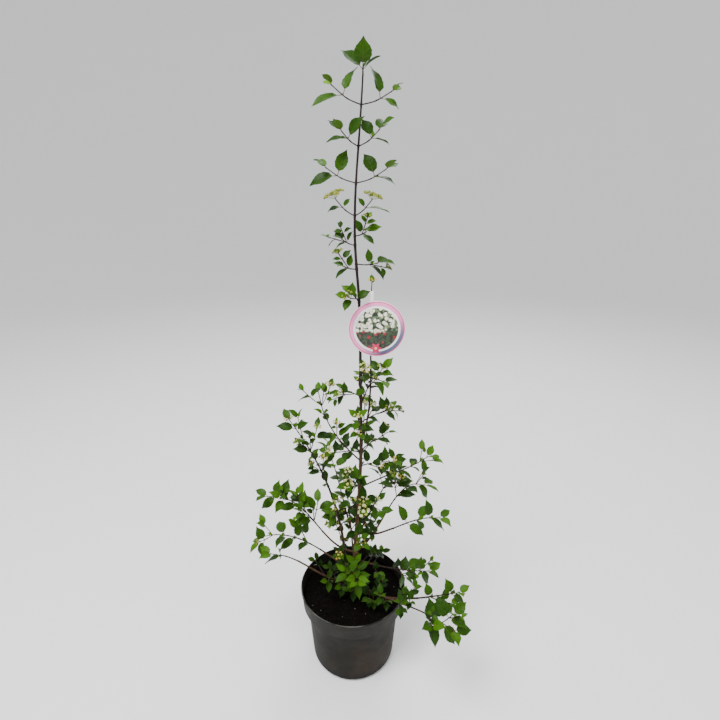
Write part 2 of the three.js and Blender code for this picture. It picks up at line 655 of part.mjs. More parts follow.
function labelSolid() {
  const { radius, thick, right, height, tongue, sides, hoopInner, hoopOuter, hoopFoot, hoopTall } = LABEL;
  const outline = new THREE.Shape();
  const [x, z] = [hoopAt.x - right, hoopFoot + hoopTall - height];
  const lean = Math.atan2(x, radius);
  const rim = (angle) => [radius * Math.sin(angle), radius * Math.cos(angle)];
  const half = Math.asin(tongue / 2 / radius);
  for (let k = 0; k <= sides; k += 1) {
    const angle = lean + half + ((2 * Math.PI - 2 * half) * k) / sides;
    outline[k ? "lineTo" : "moveTo"](...rim(angle));
  }
  outline.lineTo(x - tongue / 2, z - hoopTall);
  outline.lineTo(x - tongue / 2, z);
  outline.lineTo(x + tongue / 2, z);
  outline.lineTo(x + tongue / 2, z - hoopTall);
  const sheet = new THREE.ExtrudeGeometry(outline, { depth: thick, bevelEnabled: false, curveSegments: 1 });
  sheet.rotateX(Math.PI / 2).translate(right, labelFront + thick, height);
  const [inner, outer] = [hoopInner, hoopOuter];
  const hoop = lathe([[inner, 0], [outer, 0], [outer, hoopTall], [inner, hoopTall], [inner, 0]], 12);
  return geometrySolid(sheet).add(hoop.translate([hoopAt.x, hoopAt.y, hoopFoot]));
}

addNode("pot", potSolid(), "pot");
addNode("soil", soilSolid(), "soil");
addNode("label", labelSolid(), "label");
const trunkRoom = limbSolid(limbs[0], GAP);
for (const limb of limbs) {
  addNode(limb.name, limb.onTrunk ? limbSolid(limb).subtract(trunkRoom) : limbSolid(limb), "bark");
}
for (const mass of masses) {
  const parts = [
    ...mass.twigs.map(({ points, radii, start }) => tube(points, radii, 3, start)),
    ...mass.leaves.map((leaf) => leafBody(leaf)),
    ...mass.cymes.map((cyme) => cymeBody(cyme)),
  ];
  addNode(mass.name, mainBody(join(parts.map(solidOf)).subtract(trunkRoom)), "foliage");
}

export default group;
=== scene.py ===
"""A young snowball viburnum in its nursery pot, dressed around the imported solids.

Metres, +Z up, -Y is the front. The plant grows by a seeded rule that is worked in millimetres,
and MM turns its lengths to metres when a mesh is made.
"""
import json
import math
import bmesh
import bpy
import numpy as np
from mathutils import Matrix, Vector, noise

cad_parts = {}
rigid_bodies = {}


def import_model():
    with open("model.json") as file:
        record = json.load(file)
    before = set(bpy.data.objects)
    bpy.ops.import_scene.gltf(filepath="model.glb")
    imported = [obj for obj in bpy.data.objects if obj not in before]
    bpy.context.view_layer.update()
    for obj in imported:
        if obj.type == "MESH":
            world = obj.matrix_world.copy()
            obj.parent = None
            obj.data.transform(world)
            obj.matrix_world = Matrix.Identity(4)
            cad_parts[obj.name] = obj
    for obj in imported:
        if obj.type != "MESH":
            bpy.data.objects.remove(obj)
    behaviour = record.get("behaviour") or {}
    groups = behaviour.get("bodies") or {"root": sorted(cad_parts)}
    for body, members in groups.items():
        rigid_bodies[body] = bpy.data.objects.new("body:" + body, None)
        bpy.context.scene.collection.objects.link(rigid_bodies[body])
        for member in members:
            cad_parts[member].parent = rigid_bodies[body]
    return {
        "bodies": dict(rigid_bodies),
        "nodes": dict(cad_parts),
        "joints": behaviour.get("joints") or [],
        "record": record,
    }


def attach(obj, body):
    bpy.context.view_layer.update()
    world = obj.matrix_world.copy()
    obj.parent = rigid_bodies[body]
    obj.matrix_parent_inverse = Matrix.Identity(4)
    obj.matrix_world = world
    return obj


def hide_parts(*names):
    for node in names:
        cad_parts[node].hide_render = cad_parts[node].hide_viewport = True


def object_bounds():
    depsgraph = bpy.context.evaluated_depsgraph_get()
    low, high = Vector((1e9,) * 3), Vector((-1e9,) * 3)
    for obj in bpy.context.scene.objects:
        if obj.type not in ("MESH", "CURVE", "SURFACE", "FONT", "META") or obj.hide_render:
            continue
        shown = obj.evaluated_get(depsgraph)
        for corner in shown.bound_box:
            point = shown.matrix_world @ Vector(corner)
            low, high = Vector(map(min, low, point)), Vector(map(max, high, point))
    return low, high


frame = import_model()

cad_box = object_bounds()
MM = 0.001

# ---------------------------------------------------------------- driving sizes, in millimetres

GAP = 0.3
POT = dict(height=212, rim=132, lip=5, collar=45, collar_top=130.4, collar_foot=127.5, body=116, foot=105.5,
           base=94, foot_rise=14, wall=2.4, floor=4, slots=8, slot_width=17, slot_height=8, slot_depth=12,
           slot_round=4.5, crease=34)
SOIL_LEVEL = 187

# The leader's line: height, how far to the right, how far to the back, radius.
LEADER_LINE = [
    (SOIL_LEVEL + GAP, 3, 0, 6.4),
    (283, 5.5, 1, 5.0),
    (404, 11, 3, 4.1),
    (517, 18, 4, 3.6),
    (622, 20, 3, 3.3),
    (801, 19, 1, 2.9),
    (944, 16, 0, 2.6),
    (1063, 8, 0, 2.3),
    (1166, 10.5, 1, 1.9),
    (1297, 20, 1, 1.5),
    (1343, 23, 0, 1.2),
]
LEADER = dict(flare=5.5, flare_height=13, step=56)
LABEL = dict(radius=59, thick=1.2, right=53, height=884, tongue=9, hoop_inner=3.2, hoop_outer=4.6,
             hoop_foot=954, hoop_tall=9, crease=30)

# A leaf is ovate on a short stalk, folded along the midrib and curved down to its tip.
LEAF = dict(broad=0.46, sag=44, fold=0.22, keel=0.02, least=0.9, sunk=0.1, outline=[(0.4, 1), (0.72, 0.72)],
            plain=[(0.5, 1)], small=40, thickest=0.4)
CYME = dict(lobes=5, radius=12, notch=0.6, tall=7, crown=11)

# Clear space kept: round twigs and leaves, off the pot, its soil and its wall, and round the label.
SPACE = dict(margin=0.45, tries=6, pot=2, soil=1.5, wall=3, card=1.5, strap=3)

# How far a leaf strays from its plan: at its first try, and while it looks for room, in degrees.
STRAY = dict(splay=(6, 28), swing=(10, 50), light=0.3, length=(0.88, 1.1), short_after=3, shorter=0.8)

# Side shoots on the leader. Heights are the node's, turn is the azimuth (0 right, 90 back),
# reach and rise run from the leader to the shoot's tip.
TIERS = [
    dict(name="tier_a_left", height=1297, turn=184, reach=52, rise=30, upright=64, hanging=60, tip=30),
    dict(name="tier_a_right", height=1297, turn=4, reach=55, rise=22, upright=64, hanging=40, tip=30),
    dict(name="tier_b_left", height=1229, turn=196, reach=31, rise=24, upright=54, hanging=40, tip=40),
    dict(name="tier_b_right", height=1229, turn=16, reach=39, rise=28, upright=46, hanging=44, tip=42,
         broad=0.56),
    dict(name="tier_c_left", height=1166, turn=176, reach=56, rise=27, upright=50, hanging=58, tip=34),
    dict(name="tier_c_right", height=1166, turn=-6, reach=56, rise=24, upright=46, hanging=44, tip=38,
         broad=0.54),
    dict(name="tier_d_left", height=1107, turn=190, reach=36, rise=30, upright=26, hanging=36, cyme=1.75),
    dict(name="tier_d_right", height=1107, turn=8, reach=32, rise=28, upright=28, hanging=50, cyme=1.75),
    dict(name="tier_e_left", height=1052, turn=160, reach=26, rise=10, upright=30, hanging=32, tip=28),
    dict(name="tier_e_right", height=1070, turn=-30, reach=24, rise=8, upright=32, hanging=38, tip=34),
    dict(name="tier_f_left", height=1006, turn=200, reach=26, rise=6, upright=30, hanging=40, tip=28),
    dict(name="tier_f_right", height=1016, turn=14, reach=42, rise=0, upright=32, hanging=44, tip=40),
]
TUFT = dict(nodes=[0, 6, 14], radius=1.2, tip=54, broad=0.64, upright=48, hanging=44, upright_splay=54,
            hanging_splay=52)

# Leafy shoots that stand on the leader lower down. Bare is the leafless share of the shoot.
SHOOT = dict(leaf=38, spacing=25, bare=0.15, branch=0.22, twig=34, cyme=0.55, rise=34, end=14, radius=1.3)
SHOOTS = [
    dict(name="shoot_g_front", height=940, turn=232, reach=24, tip=22, leaf=38, broad=0.54, cyme=0.9),
    dict(name="shoot_h_right", height=776, turn=-38, reach=60, tip=4, leaf=46),
    dict(name="shoot_i_left", height=728, turn=192, reach=38, tip=22, cyme=1),
    dict(name="shoot_i_back", height=712, turn=62, reach=66, tip=40),
    dict(name="shoot_j_right", height=664, turn=24, reach=76, tip=22, leaf=42, branch=0.16),
    dict(name="shoot_j_front", height=650, turn=-98, reach=44, tip=20, leaf=42, cyme=1),
    dict(name="shoot_k_left", height=588, turn=202, reach=74, tip=16, leaf=40),
    dict(name="shoot_k_back", height=590, turn=46, reach=92, tip=14, leaf=42),
    dict(name="shoot_l_right", height=552, turn=-26, reach=84, tip=34, leaf=42, cyme=1),
    dict(name="shoot_l_front", height=522, turn=-116, reach=58, tip=14, leaf=42, cyme=1),
    dict(name="shoot_m_right", height=466, turn=-44, reach=66, tip=-2, leaf=43),
    dict(name="shoot_m_left", height=440, turn=214, reach=66, tip=14, leaf=42),
    dict(name="shoot_n_front", height=372, turn=-78, reach=46, tip=14, leaf=44),
    dict(name="front_star", height=226, turn=-84, reach=54, tip=54, leaf=48, rise=46, end=24, spacing=18,
         branch=0.5, twig=40, cyme=0, broad=0.4),
    dict(name="left_high", height=566, turn=181, reach=92, tip=172, rise=44, end=84, spacing=40, twig=60,
         branch=0.22, radius=1.8, cyme=0.3),
    dict(name="back_high", height=505, turn=84, reach=120, tip=150, rise=42, end=50, spacing=34, twig=44,
         branch=0.14, radius=1.9, cyme=0.3),
    dict(name="right_high", height=494, turn=0, reach=156, tip=82, rise=34, end=40, bare=0.4, spacing=30,
         leaf=46, radius=1.8, cyme=0),
]

# Long boughs. Foot is the node's height on the leader, or soil a place in the pot [right, back];
# turn, reach and tip place the far end, rise and end are its slopes there in degrees.
BOUGH = dict(radius=2.3, leaf=52, spacing=33, branch=0.26, twig=50, cyme=0.1)
BOUGHS = [
    dict(name="left_arch", soil=(-17, 6), turn=180, reach=139, tip=672, rise=91, end=58, bare=0.56,
         radius=3.6, leaf=44, cyme=0.5, branch=0.26, twig=64, seed=245),
    dict(name="left_low", foot=306, turn=195, reach=196, tip=508, rise=22, end=6, bare=0.38, branch=0.32,
         spacing=30, cyme=0, seed=181),
    dict(name="left_mid", foot=246, turn=184, reach=216, tip=368, rise=38, end=-14, bare=0.4, seed=226),
    dict(name="left_rim", foot=214, turn=193, reach=198, tip=342, rise=6, end=14, bare=0.7, leaf=56,
         cyme=0, seed=251),
    dict(name="back_left", foot=330, turn=112, reach=190, tip=500, rise=34, end=18, bare=0.44, seed=238),
    dict(name="back_mid", foot=268, turn=97, reach=196, tip=392, rise=24, end=4, bare=0.5, branch=0.2,
         seed=107),
    dict(name="back_right", foot=350, turn=52, reach=186, tip=446, rise=30, end=10, bare=0.46, seed=254),
    dict(name="right_low", foot=304, turn=12, reach=178, tip=478, rise=34, end=-28, bare=0.46, seed=253),
    dict(name="right_mid", foot=362, turn=-15, reach=206, tip=452, rise=0, end=6, bare=0.46, seed=263),
    dict(name="right_flat", foot=286, turn=-9, reach=188, tip=276, rise=-16, end=8, bare=0.34, broad=0.54,
         cyme=0, seed=134),
    dict(name="right_long", foot=199, turn=-29, reach=272, tip=314, rise=-6, end=34, bare=0.62, radius=2.6,
         leaf=38, broad=0.54, spacing=32, branch=0.14, cyme=0, seed=165),
    dict(name="right_hang", foot=214, turn=-39, reach=284, tip=256, rise=-2, end=-8, bare=0.6, leaf=58,
         broad=0.54, spacing=36, branch=0.14, cyme=0, seed=287),
    dict(name="riser", foot=606, turn=-2, reach=42, tip=980, rise=74, end=86, bare=0.88, radius=1.9,
         leaf=26, spacing=20, branch=0.3, twig=24, cyme=0.9, seed=116),
]

# A side shoot's way, and its sizes as shares of its twig's; then the small fresh pair at a twig's tip.
BRANCH = dict(along=0.7, out=0.75, up=0.2, length=(0.75, 1.15), far=0.65, spacing=0.72, radius=0.8, leaf=0.92,
              bow=0.16)
TIP_LEAF = dict(share=0.78, splay=38, lift=0.05)

# ---------------------------------------------------------------- small helpers

UP = np.array([0.0, 0.0, 1.0])
FRONT = np.array([0.0, -1.0, 0.0])
RIGHT = np.array([1.0, 0.0, 0.0])
STEEP = 0.8  # a direction that rises more than this is framed from RIGHT, any other from UP


def lerp(a, b, share):
    return (1 - share) * a + share * b


def point(x, y, z):
    return np.array([x, y, z], float)


def unit(vector):
    return vector / math.sqrt(vector.dot(vector))


def aim(turn, slope=0):
    turn, slope = math.radians(turn), math.radians(slope)
    return point(math.cos(turn) * math.cos(slope), math.sin(turn) * math.cos(slope), math.sin(slope))


def across(vector, axis):
    return unit(vector - axis * vector.dot(axis))


def turned_about(vector, axis, angle):
    return (vector * math.cos(angle) + np.cross(axis, vector) * math.sin(angle)
            + axis * axis.dot(vector) * (1 - math.cos(angle)))


def start_normal(way):
    return RIGHT if abs(way[2]) > STEEP else UP


def cross_frame(way):
    """Two directions square to a way and to each other."""
    side = across(start_normal(way), way)
    return side, np.cross(way, side)


def fan(frame, angle):
    """The direction at an angle between a frame's two."""
    side, other = frame
    return side * math.cos(angle) + other * math.sin(angle)


def nearest(number):
    return math.floor(number + 0.5)


def unique(items):
    """The items in their order, each of them once."""
    return list(dict.fromkeys(items))


def seeded(seed):
    state = seed * 7919 + 13

    def draw(low=0.0, high=1.0):
        nonlocal state
        state = state * 48271 % 2147483647
        return lerp(low, high, state / 2147483647)
    return draw


def leader_at(height):
    """The leader's middle and radius at a height."""
    rows = LEADER_LINE
    k = 1
    while k < len(rows) - 1 and height > rows[k][0]:
        k += 1
    share = min(max((height - rows[k - 1][0]) / (rows[k][0] - rows[k - 1][0]), 0), 1)

    def at(column):
        before, a = rows[max(k - 2, 0)][column], rows[k - 1][column]
        b, after = rows[k][column], rows[min(k + 1, len(rows) - 1)][column]
        m, n = (b - before) / 2, (after - a) / 2
        s2, s3 = share ** 2, share ** 3
        return a * (2 * s3 - 3 * s2 + 1) + m * (s3 - 2 * s2 + share) + b * (3 * s2 - 2 * s3) + n * (s3 - s2)
    radius = at(3) + LEADER["flare"] * math.exp(-(height - rows[0][0]) / LEADER["flare_height"])
    return point(at(1), at(2), height), radius


def limb_line(start, finish, rise, end):
    """A limb's line: out of start at rise degrees and into finish at end degrees."""
    reach = math.dist(start, finish) * 0.36
    turn = math.degrees(math.atan2(finish[1] - start[1], finish[0] - start[0]))
    first, second = start + aim(turn, rise) * reach, finish - aim(turn, end) * reach

    def line(t):
        return (start * (1 - t) ** 3 + first * (3 * t * (1 - t) ** 2) + second * (3 * t * t * (1 - t))
                + finish * t ** 3)
    return line


def stations(line, a, b, spacing):
    """Points along a line from share a to share b, about spacing apart."""
    marks = [line(lerp(a, b, k / 24)) for k in range(25)]
    length = sum(math.dist(p, q) for p, q in zip(marks, marks[1:]))
    count = max(1, nearest(length / spacing))
    return [line(lerp(a, b, k / count)) for k in range(count + 1)]


# ---------------------------------------------------------------- the rule's plain bodies

def tube_body(points, radii, sides, start=None):
    corners, faces, normal = [], [], None
    for k, middle in enumerate(points):
        heading = points[min(k + 1, len(points) - 1)] - points[max(k - 1, 0)]
        along = unit(start if k == 0 and start is not None else heading)
        if normal is None:
            normal = start_normal(along)
        normal = across(normal, along)
        side = np.cross(along, normal)
        for j in range(sides):
            angle = 2 * math.pi * j / sides
            corners.append(middle + normal * (radii[k] * math.cos(angle))
                           + side * (radii[k] * math.sin(angle)))
    for k in range(len(points) - 1):
        for j in range(sides):
            a, b = k * sides + j, k * sides + (j + 1) % sides
            faces += [(a, b, b + sides), (a, b + sides, a + sides)]
    last = (len(points) - 1) * sides
    for j in range(1, sides - 1):
        faces += [(0, j + 1, j), (last, last + j, last + j + 1)]
    return np.array(corners), faces


def leaf_point(leaf, t, off, lift):
    """A leaf's own measure: share of length t, distance from the midrib, height off the blade."""
    sag = math.radians(LEAF["sag"])
    start = 0.4 * sag
    turn = start - sag * t
    bend = leaf["length"] / sag
    return (leaf["root"] + leaf["along"] * (bend * (math.sin(start) - math.sin(turn)) - lift * math.sin(turn))
            + leaf["face"] * (bend * (math.cos(turn) - math.cos(start)) + lift * math.cos(turn))
            + np.cross(leaf["face"], leaf["along"]) * off)


def leaf_body(leaf, grow):
    keel = max(LEAF["keel"] * leaf["length"], LEAF["least"]) / 2 + grow
    half = leaf["broad"] * leaf["length"] / 2 + grow
    outline = LEAF["plain"] if leaf["length"] < LEAF["small"] else LEAF["outline"]

    def edge(hand):
        return [leaf_point(leaf, t, hand * half * share, half * share * LEAF["fold"]) for t, share in outline]
    rim = [leaf_point(leaf, -LEAF["sunk"] / leaf["length"], 0, 0), *edge(-1),
           leaf_point(leaf, 1 + grow / leaf["length"], 0, 0), *edge(1)[::-1]]
    count = len(rim)
    thick = [leaf_point(leaf, LEAF["thickest"], 0, lift) for lift in (keel, -keel)]
    faces = []
    for k in range(count):
        after = (k + 1) % count
        faces += [(k, after, count), (after, k, count + 1)]
    return np.array(rim + thick), faces


def cyme_body(cyme, grow):
    side, other = cross_frame(cyme["along"])
    size = cyme["size"]

    def place(out, up, angle):
        return (cyme["root"] + cyme["along"] * (up * size) + side * (out * size * math.cos(angle))
                + other * (out * size * math.sin(angle)))
    corners = [place(0, -1, 0), place(0, CYME["crown"] + grow, 0)]
    rays = CYME["lobes"] * 2
    for k in range(rays):
        out = (CYME["notch"] if k % 2 else 1) * CYME["radius"] + grow
        corners.append(place(out, CYME["tall"] + (1.5 if k % 2 else 0),
                             cyme["roll"] + math.pi * k / CYME["lobes"]))
    faces = []
    for k in range(rays):
        a, b = 2 + k, 2 + (k + 1) % rays
        faces += [(1, a, b), (0, b, a)]
    return np.array(corners), faces


# ---------------------------------------------------------------- keeping clear

class Body:
    """A closed shape that takes up room. Bodies of one mass that share a joint may touch."""

    def __init__(self, shape, mass, joints):
        corners, faces = shape
        index = np.array(faces)
        edges = {tuple(sorted((face[k], face[(k + 1) % 3]))) for face in faces for k in range(3)}
        self.low, self.high = corners.min(0), corners.max(0)
        self.edges = corners[np.array(sorted(edges))]
        self.faces = corners[index]
        self.mass, self.joints = mass, frozenset(joints)


def edges_meet_faces(edges, faces):
    start, way = edges[:, None, 0], edges[:, None, 1] - edges[:, None, 0]
    corner = faces[None, :, 0]
    u, w = faces[None, :, 1] - corner, faces[None, :, 2] - corner
    h = np.cross(way, w)
    scale = (u * h).sum(2)
    flat = np.abs(scale) < 1e-9
    scale = np.where(flat, 1, scale)
    s = start - corner
    first = (s * h).sum(2) / scale
    n = np.cross(s, np.broadcast_to(u, s.shape))
    second = (way * n).sum(2) / scale
    t = (w * n).sum(2) / scale
    return bool((~flat & (first >= 0) & (first <= 1) & (second >= 0) & (first + second <= 1)
                 & (t >= 0) & (t <= 1)).any())


class Room:
    """Every body that a later twig, leaf or cyme keeps clear of."""

    def __init__(self):
        self.bodies, self.boxes, self.limit = [], np.empty((0, 2, 3)), None

    def keep(self, bodies):
        self.bodies += bodies
        self.boxes = np.concatenate([self.boxes, [(body.low, body.high) for body in bodies]])

    def is_free(self, body):
        marks = np.concatenate([lerp(body.edges[:, 0], body.edges[:, 1], t) for t in (0, 0.33, 0.67, 1)])
        outside = self.limit and (body.low < self.limit[0]).any() | (body.high > self.limit[1]).any()
        if in_pot(marks).any() or outside:
            return False
        near = (self.boxes[:, 0] <= body.high).all(1) & (self.boxes[:, 1] >= body.low).all(1)
        for k in np.flatnonzero(near):
            other = self.bodies[k]
            if other.mass == body.mass and other.joints & body.joints:
                continue
            if edges_meet_faces(body.edges, other.faces) or edges_meet_faces(other.edges, body.faces):
                return False
        return True


def in_pot(marks):
    out = np.hypot(marks[:, 0], marks[:, 1])
    inside = (out <= POT["rim"] + SPACE["pot"]) & (marks[:, 2] <= POT["height"] + SPACE["pot"])
    low = marks[:, 2] < SOIL_LEVEL + SPACE["soil"]
    return inside & (low | (out > POT["collar_foot"] - POT["wall"] - SPACE["wall"]))


def stretches(points, radii, mass, joints, sides):
    more = SPACE["margin"]
    return [Body(tube_body(points[k:k + 2], [radii[k] + more, radii[k + 1] + more], sides), mass,
                 joints[k:k + 2]) for k in range(len(points) - 1)]


# ---------------------------------------------------------------- growing

room = Room()
joint_count = 0


def grow_leaf(mass, joint, root, along, out, plan):
    draw = mass["draw"]
    light = UP + mass["outward"] * 0.3 + FRONT * (0.9 if out[2] > 0.4 else 0.35)
    light = light + point(draw(-STRAY["light"], STRAY["light"]), draw(-STRAY["light"], STRAY["light"]), 0)
    for k in range(SPACE["tries"]):
        splay_most, swing_most = STRAY["splay"][k > 0], STRAY["swing"][k > 0]
        splay = math.radians(plan["splay"] + draw(-splay_most, splay_most))
        swing = math.radians(draw(-swing_most, swing_most))
        turned = turned_about(out, along, swing)
        way = along * math.cos(splay) + turned * math.sin(splay)
        way[2] += plan["lift"]
        way = unit(way)
        length = plan["length"] * draw(*STRAY["length"])
        length *= STRAY["shorter"] if k > STRAY["short_after"] else 1
        leaf = dict(root=root, along=way, face=across(light, way), length=length, broad=plan["broad"],
                    young=plan["young"])
        body = Body(leaf_body(leaf, SPACE["margin"]), mass["name"], [joint])
        if room.is_free(body):
            mass["leaves"].append(leaf)
            room.keep([body])
            return


def grow_cyme(mass, joint, root, along, size):
    for scale in (1, 0.8):
        way = unit(along + UP * 0.9)
        cyme = dict(root=root, along=way, size=size * scale, roll=mass["draw"](0, 2))
        body = Body(cyme_body(cyme, SPACE["margin"]), mass["name"], [joint])
        if room.is_free(body):
            mass["cymes"].append(cyme)
            room.keep([body])
            return


def lay_twig(mass, points, radius, joint=None, start=None):
    """Sets a twig in its mass and keeps its room, unless something is in the way."""
    global joint_count
    radii = [lerp(radius, 0.8, k / (len(points) - 1)) for k in range(len(points))]
    joints = list(range(joint_count + 1, joint_count + 1 + len(points)))
    joint_count += len(points)
    if joint is not None:
        joints[0] = joint
    bodies = stretches(points, radii, mass["name"], joints, 3)
    if joint is not None and not all(room.is_free(body) for body in bodies):
        return None
    room.keep(bodies)
    twig = dict(points=points, radii=radii, joints=joints, start=start)
    mass["twigs"].append(twig)
    return twig


def arm_points(start, way, length, steps, bow, power=1):
    """A shoot's points on its way out, lifted more and more by bow."""
    return [start + way * (length * j / steps) + UP * (bow * length * (j / steps) ** power)
            for j in range(steps + 1)]


def node_frame(mass, points, k):
    """Which way a twig runs at its node k, the two ways across it, and where leaves leave it."""
    last = len(points) - 1
    along = unit(points[min(k + 1, last)] - points[k - 1])
    over = across(mass["outward"] if abs(along[2]) > 0.93 else UP, along)
    node = lerp(points[k], points[k + 1], 0.25) if k < last else points[k] - along * 2
    return along, over, np.cross(along, over), node


def clothe(mass, twig, plan):
    """Opposite leaves along a twig, each pair a quarter turn from the last. Some axils carry a
    side shoot, and the tip a cyme or a small fresh pair."""
    draw, points, joints = mass["draw"], twig["points"], twig["joints"]
    last = len(points) - 1
    for k in range(1, last + 1):
        along, over, side, node = node_frame(mass, points, k)
        upright = (last - k) % 2 == 1
        grown = lerp(0.8, 1, math.sin(math.pi * k / (last + 1)))
        for hand in (1, -1):
            out = (over if upright else side) * hand
            if k < last and draw() < plan["branch"]:
                way = unit(along * BRANCH["along"] + out * BRANCH["out"] + UP * BRANCH["up"])
                length = plan["twig"] * draw(*BRANCH["length"]) * lerp(1, BRANCH["far"], k / last)
                count = max(1, nearest(length / (plan["spacing"] * BRANCH["spacing"])))
                arm = arm_points(node, way, length, count, BRANCH["bow"], 2)
                shoot = lay_twig(mass, arm, twig["radii"][k] * BRANCH["radius"], joints[k])
                if shoot:
                    clothe(mass, shoot, {**plan, "branch": 0, "leaf": plan["leaf"] * BRANCH["leaf"]})
                    continue
            if k < last:
                splay, length = plan["splay"], plan["leaf"]
                if upright:
                    splay = plan["upright_splay"] if hand > 0 else plan["hanging_splay"]
                    length = (plan["upright"] if hand > 0 else plan["hanging"]) or plan["leaf"]
                grow_leaf(mass, joints[k], node, along, out,
                          dict(splay=splay, lift=0 if upright else -0.05, length=(length or 0) * grown,
                               broad=plan["broad"], young=0.8 * k / last))
            elif plan["tip"] != 0:
                length = plan["leaf"] * TIP_LEAF["share"] if plan["tip"] is None else plan["tip"]
                grow_leaf(mass, joints[k], node, along, side * hand,
                          dict(splay=TIP_LEAF["splay"], lift=TIP_LEAF["lift"], length=length,
                               broad=plan["broad"], young=1))
        if k == last and draw() < plan["cyme"]:
            grow_cyme(mass, joints[k], points[k], along, plan["cyme_size"] or draw(0.8, 1.15))


FOLIAGE = dict(splay=62, upright_splay=80, hanging_splay=54, cyme=0, branch=0, broad=LEAF["broad"],
               upright=None, hanging=None, leaf=None, tip=None, twig=0, spacing=1, cyme_size=None)


def empty_mass(name, seed, outward, plan=None):
    return dict(name=name, seed=seed, draw=seeded(seed), outward=outward, twigs=[], leaves=[], cymes=[],
                plan=plan)


def new_mass(name, seed, turn, points, plan, start=None):
    """A mass with its stem in place. It is clothed once every stem stands."""
    mass = empty_mass(name, seed, aim(turn), plan)
    lay_twig(mass, points, plan["radius"], None, start)
    return mass


def bough_line(row):
    start = point(*row["soil"], SOIL_LEVEL + GAP) if "soil" in row else leader_at(row["foot"])[0]
    finish = aim(row["turn"]) * row["reach"]
    finish[2] = row["tip"]
    return limb_line(start, finish, row["rise"], row["end"])


def leader_stations():
    foot, top = LEADER_LINE[0][0], LEADER_LINE[-1][0]
    heights = [foot, foot + 7, foot + 18, foot + 42]
    count = nearest((top - heights[3]) / LEADER["step"])
    heights += [lerp(heights[3], top, k / count) for k in range(1, count + 1)]
    return [leader_at(height) for height in heights]


def grow_limbs():
    """The leader and the boughs' bare stretches, with their room kept."""
    leader = leader_stations()
    limbs = [dict(name="trunk", points=[row[0] for row in leader], radii=[row[1] for row in leader])]
    for row in boughs:
        points = stations(row["line"], 0, row["bare"], 42)
        radii = [lerp(row["radius"], row["radius"] * 0.74, k / (len(points) - 1)) for k in range(len(points))]
        limbs.append(dict(name=row["name"] + "_bough", points=points, radii=radii))
    for limb in limbs:
        room.keep(stretches(limb["points"], limb["radii"], limb["name"], [0] * len(limb["points"]), 4))
    return limbs


def keep_label_room():
    """Keeps room for the label, and returns where its hoop stands and the front of its card."""
    line = next(row["line"] for row in boughs if row["name"] == "riser")
    share = 0
    while line(share)[2] < LABEL["hoop_foot"] + LABEL["hoop_tall"] / 2:
        share += 0.002
    hoop = line(share)
    front = hoop[1] - LABEL["hoop_outer"] - LABEL["thick"] * 0.4
    disc = [point(LABEL["right"], front + back, LABEL["height"]) for back in (-1, LABEL["thick"] + 1)]
    heights = (LABEL["height"] + LABEL["radius"] - 6, LABEL["hoop_foot"] + 12)
    strap = [point(hoop[0], hoop[1], height) for height in heights]
    room.keep([Body(tube_body(disc, [LABEL["radius"] + SPACE["card"]] * 2, 24), "label", [])])
    room.keep([Body(tube_body(strap, [LABEL["hoop_outer"] + SPACE["strap"]] * 2, 8), "label", [])])
    return hoop, front


def grow_masses():
    masses = []
    for row, limb in zip(boughs, limbs[1:]):
        points = stations(row["line"], row["bare"], 1, row["spacing"])
        start = unit(limb["points"][-1] - limb["points"][-2])
        points[0] = points[0] + start * GAP
        plan = {**row, "radius": row["radius"] * 0.72, "tip": None}
        masses.append(new_mass(row["name"] + "_leaves", row["seed"], row["turn"], points, plan, start))
    for k, row in enumerate(TIERS):
        foot = leader_at(row["height"])[0]
        line = limb_line(foot, foot + aim(row["turn"]) * row["reach"] + UP * row["rise"], 14, 42)
        plan = {**FOLIAGE, "radius": 1.1, "upright_splay": 88, "hanging_splay": 45, "tip": 0, **row,
                "leaf": row.get("tip"), "cyme": 1 if "cyme" in row else 0, "cyme_size": row.get("cyme")}
        masses.append(new_mass(row["name"], 200 + k, row["turn"], [line(0), line(0.46), line(1)], plan))
    for k, row in enumerate(SHOOTS):
        plan = {**FOLIAGE, **SHOOT, **row, "tip": None}
        foot = leader_at(row["height"])[0]
        line = limb_line(foot, foot + aim(row["turn"]) * row["reach"] + UP * row["tip"],
                         plan["rise"], plan["end"])
        points = [line(0), *stations(line, plan["bare"], 1, plan["spacing"])]
        masses.append(new_mass(row["name"], 300 + k, row["turn"], points, plan))
    top = leader_at(LEADER_LINE[-1][0])[0] + UP * GAP
    masses.append(new_mass("top_tuft", 401, 180, [top + UP * up for up in TUFT["nodes"]],
                           {**FOLIAGE, **TUFT}, UP))
    for mass in masses:
        clothe(mass, mass["twigs"][0], mass["plan"])
    return masses


boughs = [{**FOLIAGE, **BOUGH, **row, "line": bough_line(row)} for row in BOUGHS]
limbs = grow_limbs()
hoop_at, label_front = keep_label_room()
masses = grow_masses()

# ---------------------------------------------------------------- finer growth

# Short side shoots and small axil leaves that the solids leave out, in millimetres.
FINE = dict(shoot=0.24, shoot_length=(20, 40), shoot_leaf=24, axil=0.45, axil_leaf=(10, 18), radius=0.85,
            bow=0.1, cyme=0.85, cyme_size=(0.75, 1.05), core_right=18, core_reach=120, core_foot=310,
            low_length=(26, 46), low_leaf=32, low_share=0.5, low_top=270, low_bow=0.08, low_radius=1.0,
            stem_top=440, stem_right=10, stem_reach=46, stem_cyme=0.7, seed_step=5000)


